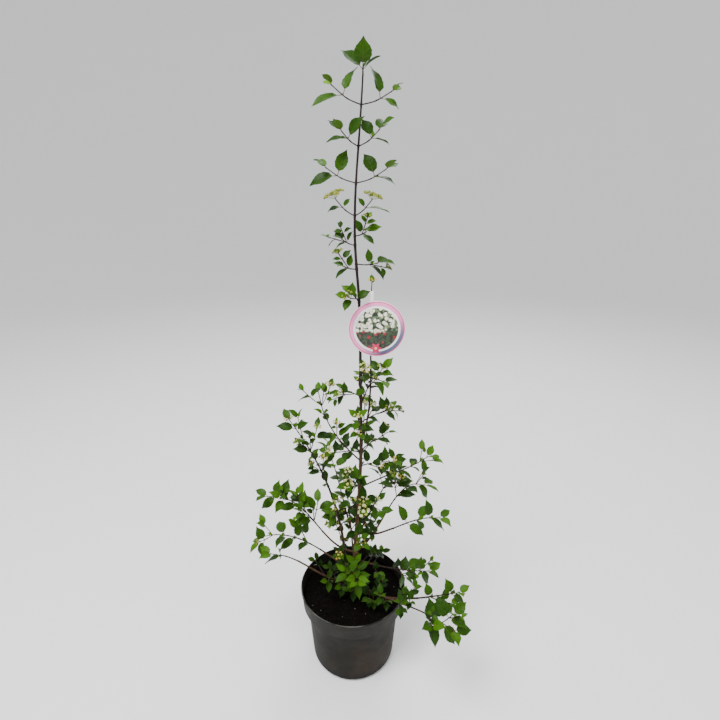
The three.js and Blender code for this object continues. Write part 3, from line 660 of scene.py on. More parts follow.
def grow_fine(mass, twig):
    """Fills a twig's axils with short leafy shoots and single small leaves."""
    draw, points, joints = mass["draw"], twig["points"], twig["joints"]
    plan = {**FOLIAGE, "splay": 50, "broad": 0.5, "leaf": FINE["shoot_leaf"], "lift": 0, "young": 1}
    for k in range(1, len(points) - 1):
        along, over, side, node = node_frame(mass, points, k)
        for hand in (1, -1):
            out = (over if (len(points) - 1 - k) % 2 == 1 else side) * hand
            chance, start = draw(), node + along * 1.5
            if chance < FINE["shoot"] * mass["fine"]:
                way = unit(along * 0.8 + out * draw(0.4, 0.9) + UP * 0.3)
                length = draw(*FINE["shoot_length"])
                arm = arm_points(start, way, length, 2, FINE["bow"])
                shoot = lay_twig(mass, arm, FINE["radius"], joints[k])
                if shoot:
                    near = (math.hypot(node[0] - FINE["core_right"], node[1]) < FINE["core_reach"]
                            and FINE["core_foot"] < node[2])
                    clothe(mass, shoot, {**plan, "cyme": FINE["cyme"] if near else 0,
                                         "cyme_size": draw(*FINE["cyme_size"])})
            elif chance < FINE["shoot"] + FINE["axil"] * mass["fine"]:
                grow_leaf(mass, joints[k], start, along, out,
                          {**plan, "splay": 34, "length": draw(*FINE["axil_leaf"])})


def grow_low_shoots(limb, seed, shares, chance, top=None):
    """Leafy shoots on a limb's bare stretch: above the compost, near the rim and close to the leader."""
    mass = empty_mass(limb["name"], seed, RIGHT)
    draw, line = mass["draw"], limb["points"]
    plan = {**FOLIAGE, "splay": 56, "broad": 0.5, "leaf": FINE["low_leaf"]}
    for share in shares:
        k = min(int(share * (len(line) - 1)), len(line) - 2)
        start = lerp(line[k], line[k + 1], share * (len(line) - 1) - k)
        along = unit(line[k + 1] - line[k])
        for hand in (1, -1):
            close = math.hypot(start[0] - FINE["stem_right"], start[1]) < FINE["stem_reach"]
            if draw() > chance or start[2] > (top or FINE["stem_top"] if close else FINE["low_top"]):
                continue
            over = across(UP if abs(along[2]) < 0.9 else aim(draw(0, 360)), along)
            way = unit(along * 0.5 + turned_about(over, along, hand * draw(0.9, 1.9)) * 0.9 + UP * 0.12)
            length = draw(*FINE["low_length"])
            shoot = lay_twig(mass, arm_points(start, way, length, 2, FINE["low_bow"]), FINE["low_radius"], 0)
            if shoot:
                bloom = FINE["stem_cyme"] if start[2] > FINE["low_top"] else 0
                clothe(mass, shoot, {**plan, "cyme": bloom, "cyme_size": draw(*FINE["cyme_size"])})
    return mass


room.limit = [np.array(corner) / MM for corner in cad_box]
for mass in masses:
    mass["draw"] = seeded(mass["seed"] + FINE["seed_step"])
    plain = mass["name"].startswith(("front_star", "top_tuft", "tier_a", "tier_b", "tier_c", "tier_d"))
    mass["fine"] = 0 if plain else 2 if mass["name"].startswith("tier") else 1
    for twig in list(mass["twigs"]):
        grow_fine(mass, twig)
node_names = [mass["name"] for mass in masses]

# Low shoots in their order: the limb, the seed, shares along the limb, the chance, and its own top.
LOW_SHOOTS = [
    (0, 611, (0.012, 0.03, 0.05, 0.068), 0.7),
    (0, 612, (0.15, 0.172, 0.19, 0.208, 0.226, 0.244, 0.262, 0.28), 0.72),
    (0, 613, (0.525, 0.54, 0.56), 0.62, 900),
    *((k, 619 + k, (0.3, 0.5, 0.7, 0.88), FINE["low_share"]) for k in range(1, len(limbs) - 1)),
    (3, 651, (0.14, 0.26, 0.4, 0.6, 0.8), 0.6),
    (4, 652, (0.14, 0.26, 0.4, 0.6, 0.8), 0.6),
    (0, 655, (0.02, 0.04), 0.9),
]
for number, *row in LOW_SHOOTS:
    masses.append(grow_low_shoots(limbs[number], *row))

# ---------------------------------------------------------------- finishes


def tint(red, green, blue):
    """A colour in screen values from 0 to 255, as linear light."""
    def linear(value):
        value /= 255
        return value / 12.92 if value <= 0.04045 else ((value + 0.055) / 1.055) ** 2.4
    return (linear(red), linear(green), linear(blue), 1.0)


def wire(tree, start, finish):
    tree.links.new(start, finish)


def add_node(tree, kind, **settings):
    node = tree.nodes.new(kind)
    for key, value in settings.items():
        setattr(node, key, value)
    return node


def effect(name, inputs, outputs):
    """An empty shader group with named sockets."""
    tree = bpy.data.node_groups.new(name, "ShaderNodeTree")
    for label, kind, value in inputs:
        socket = tree.interface.new_socket(name=label, in_out="INPUT", socket_type=kind)
        socket.default_value = value
    for label, kind in outputs:
        tree.interface.new_socket(name=label, in_out="OUTPUT", socket_type=kind)
    return tree, add_node(tree, "NodeGroupInput"), add_node(tree, "NodeGroupOutput")


def sum_node(tree, operation, a, b=None, clamp=False):
    node = add_node(tree, "ShaderNodeMath", operation=operation, use_clamp=clamp)
    for socket, value in zip(node.inputs, (a, b)):
        if value is None:
            continue
        if isinstance(value, (int, float)):
            socket.default_value = value
        else:
            wire(tree, value, socket)
    return node.outputs[0]


def mix_colours(tree, factor, a, b, blend="MIX"):
    node = add_node(tree, "ShaderNodeMix", data_type="RGBA", blend_type=blend)
    for socket, value in ((node.inputs[0], factor), (node.inputs[6], a), (node.inputs[7], b)):
        if isinstance(value, (int, float, tuple)):
            socket.default_value = value
        else:
            wire(tree, value, socket)
    return node.outputs[2]


def soft_step(tree, value, low, high):
    node = add_node(tree, "ShaderNodeMapRange", interpolation_type="SMOOTHSTEP")
    wire(tree, value, node.inputs[0])
    node.inputs[1].default_value, node.inputs[2].default_value = low, high
    return node.outputs[0]


def inverted(tree, value):
    return sum_node(tree, "SUBTRACT", 1.0, value)


def object_place(tree):
    return add_node(tree, "ShaderNodeTexCoord").outputs["Object"]


def axes_of(tree, vector):
    """The X, Y and Z of a vector."""
    node = add_node(tree, "ShaderNodeSeparateXYZ")
    wire(tree, vector, node.inputs[0])
    return node.outputs


def mapped(tree, vector, label, value):
    """A vector moved by a location or stretched by a scale."""
    node = add_node(tree, "ShaderNodeMapping")
    node.inputs[label].default_value = value
    wire(tree, vector, node.inputs[0])
    return node.outputs[0]


def cell_distance(tree, scale, vector):
    """How far a place is from the middle of its cell."""
    node = add_node(tree, "ShaderNodeTexVoronoi")
    if isinstance(scale, (int, float)):
        node.inputs["Scale"].default_value = scale
    else:
        wire(tree, scale, node.inputs["Scale"])
    wire(tree, vector, node.inputs["Vector"])
    return node.outputs["Distance"]


def lay_colour(tree, shade, mask, amount, colour):
    """Lays a colour over a shade, where its mask says and as much as amount."""
    return mix_colours(tree, sum_node(tree, "MULTIPLY", mask, amount), shade, colour)


def noise_node(tree, scale, detail=4, vector=None, roughness=0.55):
    node = add_node(tree, "ShaderNodeTexNoise")
    node.inputs["Detail"].default_value = detail
    node.inputs["Roughness"].default_value = roughness
    if isinstance(scale, (int, float)):
        node.inputs["Scale"].default_value = scale
    else:
        wire(tree, scale, node.inputs["Scale"])
    wire(tree, vector or object_place(tree), node.inputs["Vector"])
    return node.outputs[0]


def blotches(tree, scale, detail, low, high, vector=None):
    """Soft-edged patches of noise."""
    return soft_step(tree, noise_node(tree, scale, detail, vector), low, high)


def make_mottle():
    """Uneven colour: light and dark patches over a base colour, with the same patches as height."""
    tree, given, out = effect("mottle", [("Colour", "NodeSocketColor", (0.5, 0.5, 0.5, 1)),
                                         ("Dark", "NodeSocketColor", (0.2, 0.2, 0.2, 1)),
                                         ("Scale", "NodeSocketFloat", 60.0),
                                         ("Amount", "NodeSocketFloat", 0.5)],
                              [("Colour", "NodeSocketColor"), ("Height", "NodeSocketFloat")])
    patches = noise_node(tree, given.outputs["Scale"])
    mask = soft_step(tree, patches, 0.34, 0.68)
    shade = lay_colour(tree, given.outputs["Colour"], mask, given.outputs["Amount"], given.outputs["Dark"])
    wire(tree, shade, out.inputs["Colour"])
    wire(tree, patches, out.inputs["Height"])
    return tree


def make_leaf_veins():
    """Sunken side veins and midrib, read from the leaf's own map."""
    tree, given, out = effect("leaf_veins", [("Pairs", "NodeSocketFloat", 5.0)],
                              [("Mask", "NodeSocketFloat"), ("Height", "NodeSocketFloat")])
    up, over, _ = axes_of(tree, add_node(tree, "ShaderNodeUVMap", uv_map="leaf").outputs[0])
    off = sum_node(tree, "ABSOLUTE", sum_node(tree, "SUBTRACT", over, 0.5))
    rib = inverted(tree, soft_step(tree, off, 0.0, 0.035))
    step = sum_node(tree, "PINGPONG", sum_node(tree, "MULTIPLY", up, given.outputs["Pairs"]), 0.5)
    side = sum_node(tree, "MULTIPLY", inverted(tree, soft_step(tree, step, 0.0, 0.11)), 0.45)
    mask = sum_node(tree, "MAXIMUM", rib, side)
    wire(tree, mask, out.inputs["Mask"])
    wire(tree, inverted(tree, mask), out.inputs["Height"])
    return tree


def make_bark_grain():
    """Fine cracks that run along a stem, and small pale lenticels."""
    tree, given, out = effect("bark_grain", [("Scale", "NodeSocketFloat", 300.0)],
                              [("Cracks", "NodeSocketFloat"), ("Lenticels", "NodeSocketFloat"),
                               ("Height", "NodeSocketFloat")])
    drawn_out = mapped(tree, object_place(tree), "Scale", (1, 1, 0.16))
    fine = noise_node(tree, given.outputs["Scale"], 6, drawn_out, 0.65)
    cracks = soft_step(tree, fine, 0.42, 0.62)
    spots = cell_distance(tree, sum_node(tree, "MULTIPLY", given.outputs["Scale"], 0.7), object_place(tree))
    lenticels = inverted(tree, soft_step(tree, spots, 0.12, 0.24))
    wire(tree, cracks, out.inputs["Cracks"])
    wire(tree, lenticels, out.inputs["Lenticels"])
    wire(tree, sum_node(tree, "ADD", fine, sum_node(tree, "MULTIPLY", lenticels, 0.35)), out.inputs["Height"])
    return tree


MOTTLE, VEINS, BARK_GRAIN = make_mottle(), make_leaf_veins(), make_bark_grain()


def new_finish(name, roughness, **sockets):
    material = bpy.data.materials.new(name)
    material.use_nodes = True
    tree = material.node_tree
    shader = tree.nodes["Principled BSDF"]
    shader.inputs["Roughness"].default_value = roughness
    for label, value in sockets.items():
        shader.inputs[label.replace("_", " ")].default_value = value
    return material, tree, shader


def use_effect(tree, group, **values):
    node = add_node(tree, "ShaderNodeGroup", node_tree=group)
    for label, value in values.items():
        node.inputs[label].default_value = value
    return node


def add_bump(tree, shader, height, strength, depth):
    node = add_node(tree, "ShaderNodeBump")
    node.inputs["Strength"].default_value = strength
    node.inputs["Distance"].default_value = depth
    wire(tree, height, node.inputs["Height"])
    wire(tree, node.outputs[0], shader.inputs["Normal"])


def leaf_finish(name, colour, dark, vein, roughness):
    material, tree, shader = new_finish(name, roughness, Specular_IOR_Level=0.1)
    patches = use_effect(tree, MOTTLE, Colour=colour, Dark=dark, Scale=90.0, Amount=0.7)
    veins = use_effect(tree, VEINS)
    shade = lay_colour(tree, patches.outputs["Colour"], veins.outputs["Mask"], 0.5, vein)
    wire(tree, shade, shader.inputs["Base Color"])
    add_bump(tree, shader, veins.outputs["Height"], 0.6, 0.0006)
    return material


def plain_finish(name, colour, dark, scale, amount, roughness, bump=0.3, depth=0.0004, **sockets):
    material, tree, shader = new_finish(name, roughness, **sockets)
    patches = use_effect(tree, MOTTLE, Colour=colour, Dark=dark, Scale=scale, Amount=amount)
    wire(tree, patches.outputs["Colour"], shader.inputs["Base Color"])
    add_bump(tree, shader, patches.outputs["Height"], bump, depth)
    return material


def bark_finish(name, colour, crack, lenticel, scale, foot=None):
    """Bark with cracks and lenticels, turning to an older foot colour towards the ground."""
    material, tree, shader = new_finish(name, 0.72, Specular_IOR_Level=0.2)
    patches = use_effect(tree, MOTTLE, Colour=colour, Dark=crack, Scale=scale * 0.16, Amount=0.55)
    if foot:
        age = inverted(tree, soft_step(tree, axes_of(tree, object_place(tree))[2], 0.3, 0.85))
        wire(tree, mix_colours(tree, age, colour, foot), patches.inputs["Colour"])
    grain = use_effect(tree, BARK_GRAIN, Scale=scale)
    shade = lay_colour(tree, patches.outputs["Colour"], grain.outputs["Cracks"], 0.45, crack)
    shade = lay_colour(tree, shade, grain.outputs["Lenticels"], 0.6, lenticel)
    wire(tree, shade, shader.inputs["Base Color"])
    add_bump(tree, shader, grain.outputs["Height"], 0.7, 0.0006)
    return material


# Five greens from fresh to dark, then the undersides of the lighter and of the darker leaves.
LEAF_FINISHES = [
    leaf_finish("leaf_fresh", tint(88, 130, 12), tint(74, 113, 11), tint(130, 160, 46), 0.46),
    leaf_finish("leaf_light", tint(62, 101, 10), tint(51, 86, 9), tint(97, 130, 34), 0.44),
    leaf_finish("leaf_mid", tint(47, 81, 9), tint(37, 68, 7), tint(78, 110, 28), 0.42),
    leaf_finish("leaf_deep", tint(36, 66, 8), tint(28, 53, 6), tint(63, 92, 25), 0.4),
    leaf_finish("leaf_dark", tint(25, 51, 6), tint(19, 40, 5), tint(48, 74, 20), 0.4),
    leaf_finish("leaf_under", tint(68, 98, 26), tint(57, 85, 21), tint(96, 124, 48), 0.62),
    leaf_finish("leaf_under_deep", tint(46, 73, 18), tint(37, 61, 15), tint(72, 98, 36), 0.62),
]
DARKEST, UNDER, UNDER_DEEP = 4, 5, 6  # places in that list
FIRST_DEEP = 3  # the first green whose underside is the deep one

# ---------------------------------------------------------------- meshes from tables


def place_object(name, data):
    """A new object at the origin, linked to the scene."""
    thing = bpy.data.objects.new(name, data)
    bpy.context.scene.collection.objects.link(thing)
    return thing


def mesh_from(name, edit):
    """A smooth mesh from an edit mesh, which is freed. Its parts are sorted by place first, because an
    edit may list them in another order on each run."""
    for k, vertex in enumerate(sorted(edit.verts, key=lambda vertex: vertex.co[:])):
        vertex.index = k
    edit.verts.sort()
    for parts in (edit.edges, edit.faces):
        for k, part in enumerate(sorted(parts, key=lambda part: sorted(v.index for v in part.verts))):
            part.index = k
        parts.sort()
    mesh = bpy.data.meshes.new(name)
    edit.to_mesh(mesh)
    edit.free()
    mesh.shade_smooth()
    return mesh


def new_piece(name, mesh, finishes, slot, *nodes):
    """A piece from a mesh in place, riding on the plant and standing for its CAD nodes."""
    piece = place_object(name, mesh)
    for material in finishes:
        mesh.materials.append(material)
    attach(piece, "root")
    if nodes:
        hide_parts(*nodes)
    return piece


def table_mesh(name, corners, faces, shades=None):
    """A smooth mesh from a table of corners in millimetres, and faces of any size."""
    mesh = bpy.data.meshes.new(name)
    counts = np.array([len(face) for face in faces], np.int32)
    starts = np.concatenate([[0], np.cumsum(counts)[:-1]]).astype(np.int32)
    mesh.vertices.add(len(corners))
    mesh.vertices.foreach_set("co", (np.asarray(corners) * MM).astype(np.float32).ravel())
    mesh.loops.add(int(counts.sum()))
    mesh.loops.foreach_set("vertex_index", np.fromiter((v for face in faces for v in face), np.int32))
    mesh.polygons.add(len(faces))
    mesh.polygons.foreach_set("loop_start", starts)
    if shades is not None:
        mesh.polygons.foreach_set("material_index", np.asarray(shades, np.int32))
    mesh.update(calc_edges=True)
    mesh.validate()
    mesh.shade_smooth()
    return mesh


def small_ball():
    """The corners and faces of a twenty-faced ball of width 1."""
    edit = bmesh.new()
    bmesh.ops.create_icosphere(edit, subdivisions=1, radius=0.5)
    ball = np.array([vertex.co for vertex in edit.verts])
    faces = [[vertex.index for vertex in face.verts] for face in edit.faces]
    edit.free()
    return ball, faces


def repeat_faces(faces, size, count):
    """The faces of one shape, counted on for every copy."""
    return [[v + size * k for v in face] for k in range(count) for face in faces]


# ---------------------------------------------------------------- leaves

BLADE = dict(stalk=0.18, rows=8, widest=0.41, slant=0.2, quilt=0.016, tooth=1.04, notch=0.965,
             tooth_lean=0.012, fold_in=1.35, fold=(0.6, 1.3), cup=0.35, roll=13, twist=11, wave=0.07,
             beats=(1.1, 1.9), thick=0.8, point=0.5, sag=(30, 58), show=12, seed=71)


def blade_width(s):
    """Half-width of the blade at a share of its length, ending in a drawn-out tip."""
    k = BLADE["widest"]
    front = np.sqrt(np.clip(1 - ((k - s) / k) ** 2, 0, 1))
    x = np.clip(s - k, 0, 1) / (1 - k)
    ease = np.clip((x - 0.25) / 0.7, 0, 1)
    return np.where(s < k, front, (1 - x ** 1.8) * (1 - BLADE["point"] * ease * ease * (3 - 2 * ease)))


def blade_pattern():
    """One leaf's rows as (row share, side, share of the thickness below, is margin) and its faces with
    their sides."""
    rows = BLADE["rows"]
    places, faces, under = [(0, 0, 0, 0), (1, 0, 0, 0)], [], []
    top, low, rim = {}, {}, {}
    for below, skin in ((0, top), (1, low)):
        for r in range(1, rows):
            skin[0, r] = len(places)
            places.append((r / rows, 0, below, 0))
            for hand in (1, -1):
                skin[hand, r] = len(places)
                places.append((r / rows, 0.5 * hand, 0.6 * below, 0))
    for hand in (1, -1):
        for k in range(1, 2 * rows):
            rim[hand, k] = len(places)
            places.append((k / rows / 2, hand, 0, 1))
    for hand in (1, -1):
        for below, skin in ((False, top), (True, low)):
            for r in range(rows):
                tooth = rim[hand, 2 * r + 1]
                before, after = rim.get((hand, 2 * r)), rim.get((hand, 2 * r + 2))
                if r == 0:
                    pieces = [[0, skin[0, 1], skin[hand, 1]], [0, skin[hand, 1], tooth],
                              [skin[hand, 1], after, tooth]]
                elif r == rows - 1:
                    pieces = [[skin[0, r], 1, skin[hand, r]], [skin[hand, r], 1, tooth],
                              [skin[hand, r], tooth, before]]
                else:
                    pieces = [[skin[0, r], skin[0, r + 1], skin[hand, r + 1]],
                              [skin[0, r], skin[hand, r + 1], skin[hand, r]],
                              [skin[hand, r], skin[hand, r + 1], tooth], [skin[hand, r + 1], after, tooth],
                              [skin[hand, r], tooth, before]]
                faces += [piece if (hand > 0) != below else piece[::-1] for piece in pieces]
                under += [below] * len(pieces)
    return np.array(places, float), faces, np.array(under)


def leaf_places(leaves, t, off, lift):
    """leaf_point for many leaves at once: t, off and lift have a row for each leaf."""
    length = np.array([leaf["length"] for leaf in leaves])[:, None, None]
    root, along, face = (np.array([leaf[key] for leaf in leaves])[:, None]
                         for key in ("root", "along", "face"))
    t, off, lift = t[..., None], off[..., None], lift[..., None]
    sag = np.radians([leaf["sag"] for leaf in leaves])[:, None, None]
    start = 0.4 * sag
    turn, bend = start - sag * t, length / sag
    return (root + along * (bend * (np.sin(start) - np.sin(turn)) - lift * np.sin(turn))
            + face * (bend * (np.cos(turn) - np.cos(start)) + lift * np.cos(turn))
            + np.cross(face, along) * off)


def blade_corners(leaves, places, rng):
    """Every corner of every blade: toothed, folded, quilted between its veins, rolled and twisted."""
    count = len(leaves)
    s, u, below, margin = (np.broadcast_to(column, (count, len(places))) for column in places.T)
    length = np.array([leaf["length"] for leaf in leaves])[:, None]
    half = np.array([leaf["broad"] for leaf in leaves])[:, None] * length / 2
    tooth = (margin > 0) & (np.round(s * 2 * BLADE["rows"]) % 2 == 1)
    at = np.clip(s + np.abs(u) * BLADE["slant"] * 4 * s * (1 - s) + tooth * BLADE["tooth_lean"], 0, 1)
    width = blade_width(at) * np.where(margin > 0, np.where(tooth, BLADE["tooth"], BLADE["notch"]), 1)
    off, share = u * half * width, np.abs(u) * width
    fold = LEAF["fold"] * rng.uniform(*BLADE["fold"], (count, 1))
    quilt = BLADE["quilt"] * length * (np.round(s * BLADE["rows"]) % 2) * (np.abs(np.abs(u) - 0.5) < 0.1)
    beat = s * rng.uniform(*BLADE["beats"], (count, 1)) + rng.uniform(0, 1, (count, 1)) + (u > 0) * 0.37
    wave = BLADE["wave"] * half * np.abs(u) ** 2 * np.sin(2 * math.pi * beat)
    lift = half * (share * BLADE["fold_in"] - BLADE["cup"] * share ** 2) * fold + quilt * (1 - s)
    lift = lift + wave * (s * (1 - s) * 4)
    lift = lift - below * BLADE["thick"] * np.clip(length / 45, 0.4, 1.1) * (1 - 0.5 * s)
    roll = np.array([leaf["roll"] for leaf in leaves])[:, None]
    twist = BLADE["twist"] * rng.normal(0, 1, (count, 1)) * s * (roll != 0)
    turn = np.radians(roll * np.clip(s * 4, 0, 1) + twist)
    off, lift = off * np.cos(turn) - lift * np.sin(turn), off * np.sin(turn) + lift * np.cos(turn)
    return leaf_places(leaves, BLADE["stalk"] - 0.02 + (1.02 - BLADE["stalk"]) * at, off, lift)


def make_leaves(name, leaves, nodes):
    places, faces, under = blade_pattern()
    count = len(leaves)
    corners = blade_corners(leaves, places, np.random.default_rng(BLADE["seed"]))
    for k in np.flatnonzero((corners < room.limit[0]).any((1, 2)) | (corners > room.limit[1]).any((1, 2))):
        leaves[k].update(sag=LEAF["sag"], roll=0)
    corners = blade_corners(leaves, places, np.random.default_rng(BLADE["seed"])).reshape(-1, 3)
    shade = np.array([leaf["shade"] for leaf in leaves])
    under_shade = np.where(shade < FIRST_DEEP, UNDER, UNDER_DEEP)
    shades = np.where(under[None], under_shade[:, None], shade[:, None])
    mesh = table_mesh(name, corners, repeat_faces(faces, len(places), count), shades.ravel())
    flat = np.stack([places[:, 0], 0.5 + 0.5 * places[:, 1]], 1)
    layer = mesh.uv_layers.new(name="leaf")
    index = np.empty(len(mesh.loops), np.int32)
    mesh.loops.foreach_get("vertex_index", index)
    layer.uv.foreach_set("vector", flat[index % len(places)].astype(np.float32).ravel())
    sharpen_margins(mesh)
    new_piece(name, mesh, LEAF_FINISHES, "foliage", *nodes)


def sharpen_margins(mesh):
    """A crease where a leaf's upper face meets its underside."""
    edit = bmesh.new()
    edit.from_mesh(mesh)
    for edge in edit.edges:
        if len({face.material_index > DARKEST for face in edge.link_faces}) > 1:
            edge.smooth = False
    edit.to_mesh(mesh)
    edit.free()


# What sets a leaf's green, in steps from fresh to dark. Small is a length, low and core_top are heights.
TONE = dict(base=2.65, inside=0.8, core_right=15, core_reach=120, core_top=620, young=1.15, spray=0.2,
            leaf=0.5, small=26, small_less=0.3, low=300, low_more=0.7)


def dress_leaves(masses):
    """Deals every leaf a colour, an arch and a roll: young tips are fresh, and leaves deep in the crown and
    low down are darker.
    """
    rng = np.random.default_rng(29)
    for mass in masses:
        spray = rng.normal(0, TONE["spray"])
        for leaf in mass["leaves"]:
            x, y, z = leaf["root"]
            depth = max(0, 1 - math.hypot(x - TONE["core_right"], y) / TONE["core_reach"])
            inside = depth if z < TONE["core_top"] else 0
            value = (TONE["base"] + TONE["inside"] * inside - TONE["young"] * leaf["young"] ** 3 + spray
                     + rng.normal(0, TONE["leaf"]))
            value -= TONE["small_less"] if leaf["length"] < TONE["small"] else 0
            value += TONE["low_more"] if mass["name"] not in node_names and z < TONE["low"] else 0
            if mass["name"] == "front_star":
                value = 3 if leaf["young"] < 0.45 and z < 262 else 2 if leaf["young"] < 0.8 else 1
            leaf["shade"] = int(min(max(round(value), 0), DARKEST))
            leaf["sag"] = rng.uniform(*BLADE["sag"])
            leaf["roll"] = rng.normal(0, BLADE["roll"])
            if mass["name"] == "top_tuft":
                leaf.update(sag=32, roll=0)
                if abs(leaf["along"][0]) < 0.5:
                    leaf.update(sag=66 if leaf["along"][1] < 0 else 14,
                                face=across(FRONT + UP * 0.3, leaf["along"]))
            elif mass["name"].startswith("tier"):
                toward = np.sign(np.cross(leaf["face"], leaf["along"]) @ FRONT)
                edge_on = mass["name"][:6] == "tier_a" and leaf["along"][2] > 0.5
                leaf["roll"] = 0.4 * leaf["roll"] - (-30 if edge_on else BLADE["show"]) * toward


# ---------------------------------------------------------------- round stems

def smooth_line(points, step):
    """Points about step apart on a smooth line through the given ones, and each one's index on it."""
    points = [np.asarray(p, float) for p in points]
    line, marks = [points[0]], [0]
    for k in range(len(points) - 1):
        before = points[k - 1] if k else 2 * points[0] - points[1]
        after = points[k + 2] if k + 2 < len(points) else 2 * points[-1] - points[-2]
        a, b = points[k], points[k + 1]
        count = max(1, nearest(math.dist(a, b) / step))
        for j in range(1, count + 1):
            t = j / count
            line.append(0.5 * (2 * a + (b - before) * t + (2 * before - 5 * a + 4 * b - after) * t * t
                               + (3 * a - before - 3 * b + after) * t ** 3))
        marks.append(len(line) - 1)
    return np.array(line), marks


def join_tubes(name, rows, sides):
    """One mesh of round stems from rows of (points, radii)."""
    corners, faces = [], []
    for points, radii in rows:
        first, count = len(corners), len(points)
        heading = np.gradient(points, axis=0)
        heading /= np.linalg.norm(heading, axis=1)[:, None]
        normal = start_normal(heading[0])
        for k in range(count):
            normal = across(normal, heading[k])
            side = np.cross(heading[k], normal)
            for j in range(sides):
                angle = 2 * math.pi * j / sides
                corners.append(points[k] + radii[k] * fan((normal, side), angle))
        for k in range(count - 1):
            for j in range(sides):
                a, b = first + k * sides + j, first + k * sides + (j + 1) % sides
                faces.append([a, b, b + sides, a + sides])
        faces.append([first + j for j in range(sides)][::-1])
        faces.append([first + (count - 1) * sides + j for j in range(sides)])
    return table_mesh(name, np.array(corners), faces)


def noded_radii(line, marks, radii, swell, reach):
    """Radii along a smooth line, swollen a little at its nodes."""
    out = np.interp(np.arange(len(line)), marks, radii)
    for mark in marks[1:]:
        out *= 1 + swell * np.exp(-(np.linalg.norm(line - line[mark], axis=1) / reach) ** 2)
    return out


def make_twigs(masses):
    rows = []
    for mass in masses:
        for twig in mass["twigs"]:
            points, radii = twig["points"], twig["radii"]
            if twig["start"] is not None:
                points, radii = [points[0] - twig["start"] * 2, *points], [radii[0], *radii]
            line, marks = smooth_line(points, 5)
            rows.append((line, noded_radii(line, marks, radii, 0.32, 2.2) + 0.12))
    mesh = join_tubes("twigs", rows, 7)
    finish = bark_finish("young_bark", tint(46, 31, 28), tint(27, 18, 18), tint(84, 66, 54), 420.0)
    new_piece("twigs", mesh, [finish], "bark")


def make_leaf_stalks(leaves):
    rows = []
    shares = np.array([-0.01, 0.07, 0.15, 0.23, 0.34])
    places = leaf_places(leaves, *np.broadcast_arrays(shares[None], np.zeros((len(leaves), 1)), -0.15))
    for leaf, line in zip(leaves, places):
        radius = 0.62 * min(max(leaf["length"] / 42, 0.5), 1.15)
        rows.append((line, radius * np.array([1.25, 1.0, 0.9, 0.8, 0.3])))
    finish = plain_finish("leaf_stalk", tint(88, 62, 46), tint(78, 84, 38), 60.0, 0.8, 0.5)
    new_piece("leaf_stalks", join_tubes("leaf_stalks", rows, 5), [finish], "foliage")


def join_ovoids(name, rows, sides=6):
    """One mesh of small pointed eggs from rows of (foot, way, length, width)."""
    corners, rings = [], ((0.3, 1.0), (0.68, 0.66))
    for foot, way, length, width in rows:
        frame_here = cross_frame(way)
        corners += [foot, foot + way * length]
        for up, out in rings:
            for j in range(sides):
                angle = 2 * math.pi * (j + 0.5 * (up > 0.5)) / sides
                corners.append(foot + way * (length * up) + fan(frame_here, angle) * (width / 2 * out))
    faces = []
    for j in range(sides):
        a, b = 2 + j, 2 + (j + 1) % sides
        faces += [[0, b, a], [a, b, b + sides, a + sides], [a + sides, b + sides, 1]]
    size = 2 + 2 * sides
    return table_mesh(name, np.array(corners), repeat_faces(faces, size, len(rows)))


def make_buds(masses):
    draw = seeded(61)
    rows = []
    for mass in masses:
        for twig in mass["twigs"]:
            points, last = twig["points"], len(twig["points"]) - 1
            for k in range(1, last + 1):
                along, over, side, node = node_frame(mass, points, k)
                radius = twig["radii"][k]
                for hand in (1, -1):
                    out = (over if (last - k) % 2 == 1 else side) * hand
                    if k == last:
                        rows.append((points[k] + out * 0.4, unit(along + out * 0.25), draw(3, 4.4), 1.9))
                    elif draw() < 0.7:
                        rows.append((node + out * radius * 0.6 + along * 1.2, unit(along * 0.8 + out * 0.8),
                                     draw(2.2, 3.4), 1.5))
    finish = plain_finish("bud_scale", tint(84, 66, 40), tint(66, 80, 32), 80.0, 0.8, 0.5)
    new_piece("buds", join_ovoids("buds", rows), [finish], "bark")


# ---------------------------------------------------------------- blossom

UMBEL = dict(rays=7, ray_out=9.4, ray_up=6.6, ray_foot=1.2, buds=6, bud_out=2.1, bud=2.7, floret=3.4)


def cyme_place(cyme, out, up, angle):
    return (cyme["root"] + cyme["along"] * (up * cyme["size"])
            + fan(cross_frame(cyme["along"]), angle) * (out * cyme["size"]))


